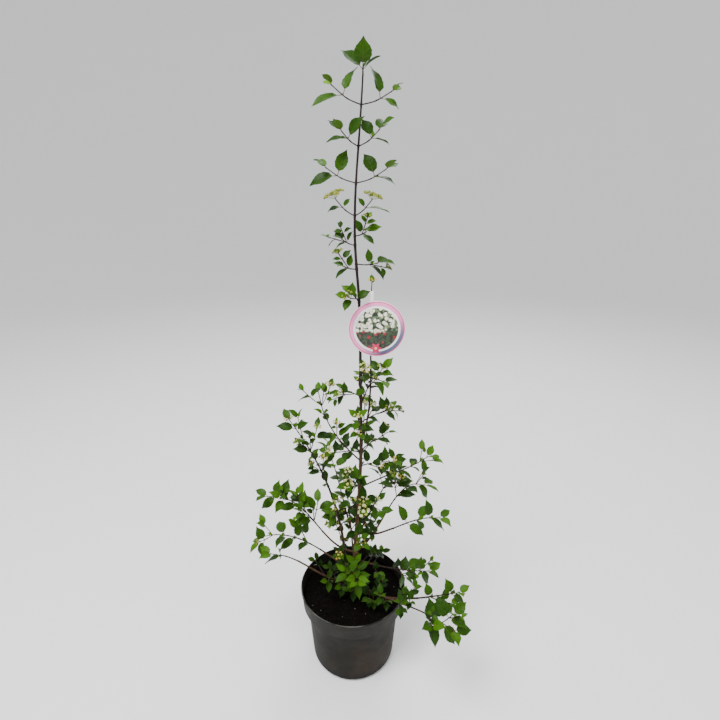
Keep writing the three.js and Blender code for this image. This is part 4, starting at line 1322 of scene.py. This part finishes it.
def make_blossom(masses):
    draw = seeded(83)
    rays, buds, shades, florets = [], [], [], []
    for cyme in (cyme for mass in masses for cyme in mass["cymes"]):
        size, shade = cyme["size"], cyme["kind"]
        stalk = [cyme["root"] - cyme["along"] * 1.5, cyme["root"] + cyme["along"] * 1.6 * size]
        rays.append((np.array(stalk), np.array([0.8, 0.6])))
        for k in range(UMBEL["rays"]):
            middle = k == UMBEL["rays"] - 1
            angle = cyme["roll"] + 2 * math.pi * k / (UMBEL["rays"] - 1) + draw(-0.15, 0.15)
            out = 0 if middle else UMBEL["ray_out"] * draw(0.86, 1.1)
            up = UMBEL["ray_up"] * draw(0.9, 1.12) + (1 if middle else 0)
            foot = cyme_place(cyme, 0, UMBEL["ray_foot"], angle)
            tip = cyme_place(cyme, out, up, angle)
            bow = lerp(foot, tip, 0.5) + cyme["along"] * (0 if middle else -0.5)
            rays.append((np.array([foot, bow, tip]), np.array([0.42, 0.36, 0.34])))
            way = unit(tip - foot)
            axis = unit(way + cyme["along"] * 0.8)
            ray_frame = cross_frame(axis)
            for j in range(UMBEL["buds"]):
                if j == UMBEL["buds"] - 1:
                    spot, lean = tip + axis * 1.1, axis
                else:
                    turn = 2 * math.pi * (j + draw(-0.2, 0.2)) / (UMBEL["buds"] - 1)
                    lean = fan(ray_frame, turn)
                    spot = tip + (lean * UMBEL["bud_out"] * size) + axis * draw(0.2, 1.2)
                    lean = unit(axis + lean * 0.7)
                if shade == 2 and draw() < 0.16:
                    wide = UMBEL["floret"] * size * draw(0.85, 1.15)
                    florets.append((spot + axis * 0.8, unit(lean + axis), wide))
                else:
                    buds.append((spot, lean, UMBEL["bud"] * size * draw(0.8, 1.12)))
                    shades.append(shade if draw() < 0.8 else 0)
    finishes = [
        plain_finish("bud_green", tint(140, 146, 38), tint(104, 110, 30), 200.0, 0.8, 0.5),
        plain_finish("bud_golden", tint(214, 190, 78), tint(184, 164, 56), 200.0, 0.7, 0.5),
        plain_finish("bud_cream", tint(214, 214, 116), tint(182, 190, 84), 200.0, 0.7, 0.5),
    ]
    new_piece("blossom_buds", join_balls("blossom_buds", buds, shades), finishes, "foliage")
    petal = plain_finish("petal_cream", tint(240, 236, 190), tint(226, 224, 160), 160.0, 0.6, 0.55)
    heart = plain_finish("petal_heart", tint(206, 204, 120), tint(180, 184, 92), 240.0, 0.6, 0.5)
    new_piece("florets", join_florets("florets", florets), [petal, heart], "foliage")
    stalk = plain_finish("cyme_stalk", tint(126, 142, 70), tint(104, 116, 56), 90.0, 0.7, 0.5)
    new_piece("cyme_stalks", join_tubes("cyme_stalks", rays, 4), [stalk], "foliage")


def join_balls(name, rows, shades):
    """One mesh of twenty-faced buds from rows of (middle, way, width)."""
    ball, faces = small_ball()
    ball[:, 2] *= 1.12
    corners = []
    for middle, way, width in rows:
        corners.append(middle + (ball @ np.array([*cross_frame(way), way])) * width)
    return table_mesh(name, np.concatenate(corners), repeat_faces(faces, len(ball), len(rows)),
                      np.repeat(shades, len(faces)))


# One petal's corners: how far out, how far to the side and how far up, in petal lengths.
PETAL = [(0.12, 0, 0), (0.62, 0.34, 0.1), (1, 0, 0.3), (0.62, -0.34, 0.1), (0.6, 0, 0.2), (0.6, 0, -0.02)]


def join_florets(name, rows):
    """One mesh of small open flowers of five cupped petals round a yellow heart."""
    corners, faces, shades = [], [], []
    for middle, way, size in rows:
        ways = [fan(cross_frame(way), 2 * math.pi * k / 5) for k in range(5)]
        for out in ways:
            over = np.cross(way, out)
            first = len(corners)
            corners += [middle + (out * far + over * wide + way * up) * size for far, wide, up in PETAL]
            for j in range(4):
                a, b = first + j, first + (j + 1) % 4
                faces += [[b, a, first + 4], [a, b, first + 5]]
            shades += [0] * 8
        first = len(corners)
        for up, wide in ((0.02, 0.16), (0.2, 0.12)):
            corners += [middle + way * up * size + out * wide * size for out in ways]
        faces += [[first + j, first + (j + 1) % 5, first + 5 + (j + 1) % 5, first + 5 + j] for j in range(5)]
        faces += [[first + 4, first + 3, first + 2, first + 1, first], [first + 5 + j for j in range(5)]]
        shades += [1] * 7
    return table_mesh(name, np.array(corners), faces, shades)


# ---------------------------------------------------------------- trunk and boughs

BARK = dict(ring=4, sides=14, ridge=0.32, knot=0.22, knot_reach=3.2, bulk=0.3)


def sweep_limb(edit, line, radii, sides, start=None):
    """A limb drawn out of a ring along its line, one ring to a point."""
    heading = np.gradient(line, axis=0)
    if start is not None:
        heading[0] = start
    normal, ring = start_normal(unit(heading[0])), None
    for k, middle in enumerate(line):
        along = unit(heading[k])
        normal = across(normal, along)
        side = np.cross(along, normal)
        place = Matrix.Translation(middle * MM) @ Matrix(np.column_stack([normal, side, along])).to_4x4()
        if ring is None:
            ring = bmesh.ops.create_circle(edit, segments=sides, radius=1, cap_ends=True)["verts"]
            shape = [vertex.co.copy() for vertex in ring]
            edges = unique(edge for vertex in ring for edge in vertex.link_edges)
            foot = unique(face for vertex in ring for face in vertex.link_faces)
            bmesh.ops.reverse_faces(edit, faces=foot)
        else:
            made = bmesh.ops.extrude_edge_only(edit, edges=edges)["geom"]
            edges = [item for item in made if isinstance(item, bmesh.types.BMEdge)]
            fresh = [item for item in made if isinstance(item, bmesh.types.BMVert)]
            ring = match_ring(ring, fresh)
        for vertex, corner in zip(ring, shape):
            out = bark_radius(radii[k], corner, middle)
            vertex.co = place @ (Vector((corner.x, corner.y, 0)) * out * MM)
    bmesh.ops.holes_fill(edit, edges=edges, sides=sides)


def match_ring(ring, fresh):
    """The new ring's vertices in the old ring's order."""
    pairs = {}
    fresh_set = set(fresh)
    for vertex in ring:
        for edge in vertex.link_edges:
            other = edge.other_vert(vertex)
            if other in fresh_set:
                pairs[vertex] = other
    return [pairs[vertex] for vertex in ring]


def bark_radius(radius, corner, middle):
    """The radius at one corner of a ring, with lengthwise ridges and small knobs."""
    where = Vector((corner.x * radius * 0.5, corner.y * radius * 0.5, middle[2] * 0.045))
    ridge = noise.fractal(where, 1.0, 2.0, 3)
    knob = noise.noise(Vector((corner.x * radius, corner.y * radius, middle[2] * 0.4)) * 0.55)
    return radius + BARK["ridge"] * min(1, radius / 3.5) * (ridge + 0.5 * max(knob - 0.15, 0))


def make_limbs(name, rows, finish, nodes):
    edit = bmesh.new()
    for limb in rows:
        line, marks = smooth_line(limb["points"], BARK["ring"])
        radii = np.interp(np.arange(len(line)), marks, limb["radii"]) + BARK["bulk"]
        for node in limb["nodes"]:
            radii = radii * (1 + BARK["knot"] * np.exp(-((line[:, 2] - node) / BARK["knot_reach"]) ** 2))
        sweep_limb(edit, line, radii, BARK["sides"], limb.get("start"))
    bmesh.ops.recalc_face_normals(edit, faces=edit.faces)
    new_piece(name, mesh_from(name, edit), [finish], "bark", *nodes)


# ---------------------------------------------------------------- pot, soil and label

def round_edges(edit, edges, radius, segments=2):
    bmesh.ops.bevel(edit, geom=edges, offset=radius * MM, offset_type="OFFSET", segments=segments,
                    profile=0.5, affect="EDGES", material=-1)


def spun(edit, profile, steps, scale=MM, merge=0.02 * MM):
    """A shell spun round the upright axis from its profile of (out, up)."""
    path = [edit.verts.new((out * scale, 0, up * scale)) for out, up in profile]
    edges = [edit.edges.new(pair) for pair in zip(path, path[1:])]
    bmesh.ops.spin(edit, geom=path + edges, cent=(0, 0, 0), axis=(0, 0, 1), angle=2 * math.pi, steps=steps,
                   use_merge=True)
    bmesh.ops.remove_doubles(edit, verts=edit.verts, dist=merge)
    bmesh.ops.recalc_face_normals(edit, faces=edit.faces)


def make_pot():
    """The pot: a spun wall with a rolled lip, a stepped collar and scalloped drain slots."""
    p = POT
    under, lip, top, wall = p["height"] - p["collar"], p["height"] - p["lip"], p["height"], p["wall"]
    foot, body, collar, rim = p["foot"], p["body"], p["collar_foot"], p["rim"]
    edit = bmesh.new()
    spun(edit, [
        (0, 0), (p["base"] - 2, 0), (p["base"], 0.6), (foot - 2.5, 5.5), (foot - 0.6, 9.5),
        (foot, p["foot_rise"]), (lerp(foot, body, 0.25), 50), (lerp(foot, body, 0.6), 103),
        (body - 0.2, under - 6), (body + 0.8, under - 3.6), (collar - 1.4, under - 0.2),
        (collar - 0.4, under + 0.3), (collar, under + 1.4), (p["collar_top"] - 0.2, lip - 2.6),
        (p["collar_top"] + 0.5, lip - 1.2), (rim - 0.5, lip - 0.2), (rim, lip + 0.8), (rim, top - 0.9),
        (rim - 0.8, top), (rim - wall + 0.2, top), (rim - wall - 0.6, top - 0.9), (collar - wall, under + 5),
        (collar - wall - 1.2, under + 3.2), (body - wall, under), (foot - wall - 2, p["floor"] + 2),
        (foot - wall - 4, p["floor"]), (0, p["floor"]),
    ], 128)
    piece = new_piece("plant_pot", mesh_from("plant_pot", edit), [pot_finish()], "pot_plastic", "pot")
    cut = bmesh.new()
    for k in range(p["slots"]):
        angle = 2 * math.pi * (k + 0.5) / p["slots"]
        size = Matrix.Diagonal((p["slot_depth"] * 2 * MM, p["slot_width"] * MM, p["slot_height"] * 2 * MM, 1))
        place = Matrix.Rotation(angle, 4, "Z") @ Matrix.Translation((foot * MM, 0, 0)) @ size
        made = bmesh.ops.create_cube(cut, size=1, matrix=place)["verts"]
        tall = [e for v in made for e in v.link_edges
                if abs((e.verts[0].co - e.verts[1].co).z) < 1e-6 and min(e.verts[0].co.z, e.verts[1].co.z) > 0
                and abs((Matrix.Rotation(-angle, 4, "Z") @ (e.verts[0].co - e.verts[1].co)).x) > 0.01]
        round_edges(cut, unique(tall), p["slot_round"], 5)
    cutter = place_object("slot_blades", mesh_from("slot_blades", cut))
    slots = piece.modifiers.new("drain_slots", "BOOLEAN")
    slots.operation, slots.solver, slots.object = "DIFFERENCE", "EXACT", cutter
    apply_modifiers(piece)
    bpy.data.objects.remove(cutter)
    sharpen_folds(piece.data, p["crease"])


def apply_modifiers(piece):
    """Bakes a piece's modifiers into its mesh."""
    with bpy.context.temp_override(object=piece, active_object=piece, selected_objects=[piece]):
        for modifier in list(piece.modifiers):
            bpy.ops.object.modifier_apply(modifier=modifier.name)


def sharpen_folds(mesh, degrees):
    edit = bmesh.new()
    edit.from_mesh(mesh)
    for edge in edit.edges:
        edge.smooth = edge.is_manifold and edge.calc_face_angle(0) < math.radians(degrees)
    for face in edit.faces:
        face.smooth = True
    edit.to_mesh(mesh)
    edit.free()


def pot_finish():
    """Dark moulded plastic, dusty, with faint scuffs, and painted light and shade: a lighter collar, a
    painted shadow under it, a painted highlight along the lip and a foot darkened by splashes and painted
    shade.
    """
    material, tree, shader = new_finish("pot_plastic", 0.62, Specular_IOR_Level=0.12)
    fine = use_effect(tree, MOTTLE, Colour=tint(26, 24, 19), Dark=tint(19, 17, 14), Scale=26.0, Amount=0.7)
    warm = blotches(tree, 7.0, 3, 0.44, 0.62)
    shade = lay_colour(tree, fine.outputs["Colour"], warm, 0.75, tint(41, 31, 22))
    up, under = axes_of(tree, object_place(tree))[2], (POT["height"] - POT["collar"]) * MM
    # Painted light: the collar and lip above the step are laid a little lighter and greyer, as if lit from
    # above.
    collar = soft_step(tree, up, under, under + 0.003)
    shade = lay_colour(tree, shade, collar, 0.7, tint(29, 28, 24))
    dust = blotches(tree, 11.0, 6, 0.5, 0.78)
    shade = lay_colour(tree, shade, dust, 0.35, tint(56, 53, 46))
    # Painted shadow: a dark band on the body just under the collar's step.
    collar_shadow = sum_node(tree, "SUBTRACT", soft_step(tree, up, under - 0.026, under - 0.012), collar)
    shade = lay_colour(tree, shade, collar_shadow, 0.85, tint(13, 12, 11))
    # Painted highlight: a pale, broken line along the top of the lip.
    lip_highlight = sum_node(tree, "MULTIPLY", soft_step(tree, up, (POT["height"] - 1.6) * MM, POT["height"] * MM),
                    blotches(tree, 16.0, 3, 0.38, 0.6))
    shade = lay_colour(tree, shade, lip_highlight, 0.6, tint(104, 106, 100))
    # Darker and spotty towards the foot: compost splashes, and painted shade where the pot meets the floor.
    splash_and_shade = inverted(tree, soft_step(tree, up, 0.006, 0.034))
    spots = sum_node(tree, "ADD", noise_node(tree, 60.0, 5), 0.35)
    splash_and_shade = sum_node(tree, "MULTIPLY", splash_and_shade, spots, clamp=True)
    shade = mix_colours(tree, splash_and_shade, shade, tint(14, 12, 10))
    wire(tree, shade, shader.inputs["Base Color"])
    rough = sum_node(tree, "ADD", sum_node(tree, "MULTIPLY", noise_node(tree, 40.0, 4), 0.25), 0.48)
    wire(tree, rough, shader.inputs["Roughness"])
    add_bump(tree, shader, noise_node(tree, 900.0, 3), 0.12, 0.0003)
    return material


SOIL = dict(relief=3.2, crumbs=760, crumb=(1.8, 6.5), specks=14, speck=(1.6, 3.0), rough=0.22, tilt=0.5,
            raised=0.08, clear=9, edge=5)


def soil_height(x, y):
    """Height of the compost's surface: lumpy, a little raised round the stems."""
    lump = noise.fractal(Vector((x, y, 0)) * 0.05, 1.0, 2.0, 4) * SOIL["relief"]
    grain = noise.noise(Vector((x, y, 3)) * 0.3) * 0.9
    stem = 2.2 * math.exp(-((x - 2) ** 2 + y ** 2) / 700)
    return SOIL_LEVEL - 1 + lump + grain + stem


def make_soil():
    """Compost: a disc whose top is lumpy, on a plug that fills the pot."""
    wall, under = POT["wall"], POT["height"] - POT["collar"]
    top, rings = POT["collar_foot"] - wall - 0.2, 30
    edit = bmesh.new()
    disc = [(top * k / rings, SOIL_LEVEL) for k in range(rings + 1)]
    side = [(top - 1.4, SOIL_LEVEL - 8), (POT["collar_foot"] - wall - 2.5, under + 5),
            (POT["body"] - wall - 1.2, under), (POT["foot"] - wall - 4, POT["floor"] + GAP),
            (0, POT["floor"] + GAP)]
    spun(edit, disc + side, 96)
    for vertex in edit.verts:
        x, y, z = (value / MM for value in vertex.co)
        if z > SOIL_LEVEL - 0.5:
            edge = min(1, (top - math.hypot(x, y)) / 6 + 0.25)
            vertex.co.z = lerp(SOIL_LEVEL - 2.4, soil_height(x, y), edge) * MM
    damp = plain_finish("compost", tint(13, 10, 8), tint(6, 5, 4), 240.0, 0.9, 0.95, 0.9, 0.003,
                        Specular_IOR_Level=0.05)
    new_piece("compost", mesh_from("compost", edit), [damp], "compost", "soil")


def make_crumbs():
    """Bark crumbs and a few pale grains lying on the compost."""
    rng = np.random.default_rng(17)
    ball, faces = small_ball()
    corners, shades = [], []
    reach = POT["collar_foot"] - POT["wall"] - SOIL["edge"]
    for k in range(SOIL["crumbs"] + SOIL["specks"]):
        speck = k >= SOIL["crumbs"]
        out, turn = reach * math.sqrt(rng.uniform()), rng.uniform(0, 2 * math.pi)
        x, y = out * math.cos(turn), out * math.sin(turn)
        if math.hypot(x - 3, y) < SOIL["clear"]:
            continue
        size = rng.uniform(*SOIL["speck" if speck else "crumb"])
        shape = ball * np.array([1, 1, 0.9] if speck else [1, rng.uniform(0.45, 1), rng.uniform(0.3, 0.6)])
        shape = shape * (1 + rng.uniform(-SOIL["rough"], SOIL["rough"], (len(ball), 1)))
        spin, tilt = rng.uniform(0, 2 * math.pi), rng.uniform(-SOIL["tilt"], SOIL["tilt"])
        turned = np.array(Matrix.Rotation(spin, 3, "Z") @ Matrix.Rotation(tilt, 3, "X"))
        corners.append(shape @ turned.T * size + np.array([x, y, soil_height(x, y) + size * SOIL["raised"]]))
        shades.append(2 if speck else int(rng.integers(0, 2)))
    mesh = table_mesh("crumbs", np.concatenate(corners), repeat_faces(faces, len(ball), len(corners)),
                      np.repeat(shades, len(faces)))
    finishes = [
        plain_finish("bark_crumb", tint(24, 18, 14), tint(12, 9, 8), 300.0, 0.8, 0.9, 0.6, 0.001,
                     Specular_IOR_Level=0.08),
        plain_finish("peat_crumb", tint(12, 9, 8), tint(7, 6, 5), 300.0, 0.8, 0.95, 0.6, 0.001,
                     Specular_IOR_Level=0.05),
        plain_finish("pale_grain", tint(104, 97, 80), tint(76, 69, 54), 300.0, 0.5, 0.85),
    ]
    new_piece("crumbs", mesh, finishes, "compost")


def print_finish():
    """The label's printed face: a ring with painted shade towards its lower right, a white band, a simple
    flower bed and a plain rosette.
    """
    material, tree, shader = new_finish("label_print", 0.32, Coat_Weight=0.3, Coat_Roughness=0.15)
    centre = mapped(tree, object_place(tree), "Location", (-LABEL["right"] * MM, 0, -LABEL["height"] * MM))
    flat = mapped(tree, centre, "Scale", (1, 0, 1))
    length = add_node(tree, "ShaderNodeVectorMath", operation="LENGTH")
    wire(tree, flat, length.inputs[0])
    out = length.outputs["Value"]
    right, _, up = axes_of(tree, flat)

    def mottled(scale, detail, low, high, a, b):
        return mix_colours(tree, blotches(tree, scale, detail, low, high, flat), a, b)

    def cells(scale, low, high):
        return inverted(tree, soft_step(tree, cell_distance(tree, scale, flat), low, high))
    leaves = mottled(150.0, 5, 0.42, 0.56, tint(6, 14, 7), tint(44, 66, 30))
    berries = mix_colours(tree, cells(92.0, 0.3, 0.38), leaves, tint(150, 8, 20))
    shadow = mottled(90.0, 5, 0.46, 0.6, tint(28, 44, 28), tint(112, 128, 92))
    cream = mottled(260.0, 4, 0.44, 0.62, tint(252, 251, 242), tint(206, 204, 150))
    petals = mix_colours(tree, cells(125.0, 0.46, 0.56), shadow, cream)
    ragged = sum_node(tree, "MULTIPLY", noise_node(tree, 60.0, 3, flat), 0.03)
    split = sum_node(tree, "ADD", up, ragged)
    face = mix_colours(tree, soft_step(tree, split, 0.008, 0.013), berries, petals)
    # Painted shade: the ring goes from pink at the upper left to blue-grey towards the lower right, like a
    # curled edge in shade.
    slant = sum_node(tree, "SUBTRACT", right, up)
    ring = mix_colours(tree, soft_step(tree, slant, 0.01, 0.075), tint(250, 150, 200), tint(74, 92, 126))
    for low, high, colour in ((0.0442, 0.0445, tint(255, 252, 254)), (0.0485, 0.0488, ring),
                              (0.0556, 0.056, tint(222, 36, 122)), (0.0574, 0.0577, tint(255, 226, 238))):
        face = mix_colours(tree, soft_step(tree, out, low, high), face, colour)
    across_it = sum_node(tree, "ADD", right, 0.002)
    up_it = sum_node(tree, "ADD", up, 0.0415)
    turn = sum_node(tree, "ARCTAN2", up_it, across_it)
    petal = sum_node(tree, "COSINE", sum_node(tree, "MULTIPLY", turn, 6.0))
    reach = sum_node(tree, "SQRT", sum_node(tree, "ADD", sum_node(tree, "MULTIPLY", across_it, across_it),
                                            sum_node(tree, "MULTIPLY", up_it, up_it)))
    edge = sum_node(tree, "ADD", sum_node(tree, "MULTIPLY", petal, 0.0024), 0.0098)
    inside = sum_node(tree, "SUBTRACT", edge, reach)
    face = mix_colours(tree, soft_step(tree, inside, 0.0, 0.0004), face, tint(214, 12, 92))
    face = mix_colours(tree, soft_step(tree, reach, 0.0024, 0.0028), tint(255, 214, 120), face)
    wire(tree, face, shader.inputs["Base Color"])
    add_bump(tree, shader, noise_node(tree, 500.0, 2), 0.05, 0.0002)
    return material


def make_label():
    """The hang label: a thin card disc and the plastic strap that loops round its stem."""
    card = plain_finish("label_card", tint(250, 196, 216), tint(238, 178, 204), 20.0, 0.5, 0.4, 0.05)
    thick, inner, outer, tall = (LABEL[key] for key in ("thick", "hoop_inner", "hoop_outer", "hoop_tall"))
    edit = bmesh.new()
    turn = Matrix.Rotation(math.pi / 2, 4, "X")
    middle = Vector((LABEL["right"], label_front, LABEL["height"])) * MM
    bmesh.ops.create_circle(edit, cap_ends=True, segments=96, radius=LABEL["radius"] * MM,
                            matrix=Matrix.Translation(middle) @ turn)
    made = bmesh.ops.extrude_face_region(edit, geom=edit.faces[:])["geom"]
    back = [item for item in made if isinstance(item, bmesh.types.BMVert)]
    bmesh.ops.translate(edit, verts=back, vec=(0, thick * MM, 0))
    bmesh.ops.recalc_face_normals(edit, faces=edit.faces)
    round_edges(edit, [edge for edge in edit.edges if edge.calc_face_angle(0) > 1], 0.3)
    for face in edit.faces:
        front = face.calc_center_median().y < (label_front + 0.2) * MM
        face.material_index = 1 if front and len(face.verts) > 8 else 0
    mesh = mesh_from("label_disc", edit)
    sharpen_folds(mesh, LABEL["crease"])
    new_piece("label_disc", mesh, [card, print_finish()], "label_card", "label")
    edit = bmesh.new()
    foot, top = LABEL["height"] + LABEL["radius"] - 5, LABEL["hoop_foot"]
    spun(edit, [(inner, 0), (outer - 0.3, 0), (outer, 0.3), (outer, tall - 0.3), (outer - 0.3, tall),
                (inner, tall), (inner, 0)], 40)
    bmesh.ops.translate(edit, verts=edit.verts, vec=Vector((hoop_at[0], hoop_at[1], top)) * MM)
    middle = Vector((hoop_at[0], label_front + thick * 0.5, (foot + top + tall) / 2)) * MM
    size = Matrix.Diagonal(Vector((LABEL["tongue"], thick - 0.1, top + tall - foot)) * MM).to_4x4()
    strip = bmesh.ops.create_cube(edit, size=1, matrix=Matrix.Translation(middle) @ size)["verts"]
    round_edges(edit, unique(edge for vertex in strip for edge in vertex.link_edges), 0.35)
    mesh = mesh_from("label_strap", edit)
    sharpen_folds(mesh, LABEL["crease"])
    strap = plain_finish("label_strap", tint(252, 244, 248), tint(240, 228, 236), 20.0, 0.5, 0.4, 0.05)
    new_piece("label_strap", mesh, [strap], "label_card")


# ---------------------------------------------------------------- making the plant

dress_leaves(masses)
cyme_rng = seeded(47)
for mass in masses:
    for cyme in mass["cymes"]:
        roll = cyme_rng()
        golden = roll < 0.18 or mass["name"] in ("left_high", "left_arch_leaves")
        cyme["kind"] = 0 if mass["name"].startswith("tier") else 1 if golden else 2 if roll < 0.5 else 0
leaves = [leaf for mass in masses for leaf in mass["leaves"]]
make_leaves("leaves", leaves, node_names)
make_leaf_stalks(leaves)
make_twigs(masses)
make_buds(masses)
make_blossom(masses)

feet = {row["foot"] for row in BOUGHS if "foot" in row}
limbs[0]["nodes"] = sorted({row["height"] for row in TIERS + SHOOTS} | feet)
for limb in limbs[1:]:
    limb["nodes"] = []
limbs[1]["start"] = UP
leader_bark = bark_finish("leader_bark", tint(42, 30, 29), tint(26, 18, 18), tint(86, 70, 58), 300.0,
                          tint(104, 75, 46))
bough_bark = bark_finish("bough_bark", tint(44, 31, 27), tint(27, 19, 17), tint(88, 70, 56), 340.0,
                         tint(84, 60, 40))
make_limbs("trunk_bark", limbs[:1], leader_bark, ["trunk"])
make_limbs("bough_bark", limbs[1:], bough_bark, [limb["name"] for limb in limbs[1:]])
make_pot()
make_soil()
make_crumbs()
make_label()

# ---------------------------------------------------------------- floor, light and camera

# In metres. The floor is flat to flat and bends up from there; lamps are (name, place, size, power).
FLOOR = dict(flat=5, bend=4, far=9, high=7, merge=0.0005)
LAMPS = [
    ("key", (-1.0, -1.2, 3.6), 1.4, 170),
    ("fill", (2.2, -1.4, 2.0), 2.0, 16),
    ("back", (0.8, 2.2, 3.0), 1.6, 50),
]
LAMP_AIM = (0, 0, 0.6)
SKY = dict(colour=(0.97, 0.985, 1.0, 1), strength=0.85)
CAMERA = dict(place=(0.018, -0.933, 1.143), down=19.4, lens=23.25, sensor=36, far=100)


def make_floor():
    """A round floor that sweeps up into a backdrop on every side, well outside the lights."""
    edit = bmesh.new()
    flat, bend = FLOOR["flat"], FLOOR["bend"]
    sweep = [(flat + bend * math.sin(a), bend - bend * math.cos(a)) for a in np.linspace(0, math.pi / 2, 17)]
    spun(edit, [(0, 0), (1.5, 0), *sweep, (FLOOR["far"], FLOOR["high"])], 96, 1, FLOOR["merge"])
    mesh = mesh_from("floor", edit)
    floor = place_object("floor", mesh)
    mesh.materials.append(plain_finish("floor", (0.9, 0.9, 0.9, 1), (0.88, 0.88, 0.88, 1), 3.0, 0.4, 0.9,
                                       0.02))


def make_lights():
    world = bpy.data.worlds.new("studio")
    bpy.context.scene.world = world
    world.use_nodes = True
    back = world.node_tree.nodes["Background"]
    back.inputs["Color"].default_value = SKY["colour"]
    back.inputs["Strength"].default_value = SKY["strength"]
    for name, spot, size, power in LAMPS:
        lamp = bpy.data.lights.new(name, "AREA")
        lamp.size, lamp.energy = size, power
        light = place_object(name, lamp)
        light.location = spot
        light.rotation_euler = (Vector(spot) - Vector(LAMP_AIM)).to_track_quat("Z", "Y").to_euler()


def make_camera():
    """The camera stands near the front of the plant and looks a little down on it."""
    lens = bpy.data.cameras.new("camera")
    lens.lens, lens.sensor_width, lens.clip_end = CAMERA["lens"], CAMERA["sensor"], CAMERA["far"]
    camera = place_object("camera", lens)
    camera.location = CAMERA["place"]
    camera.rotation_euler = (math.radians(90 - CAMERA["down"]), 0, 0)
    bpy.context.scene.camera = camera


make_floor()
make_lights()
make_camera()
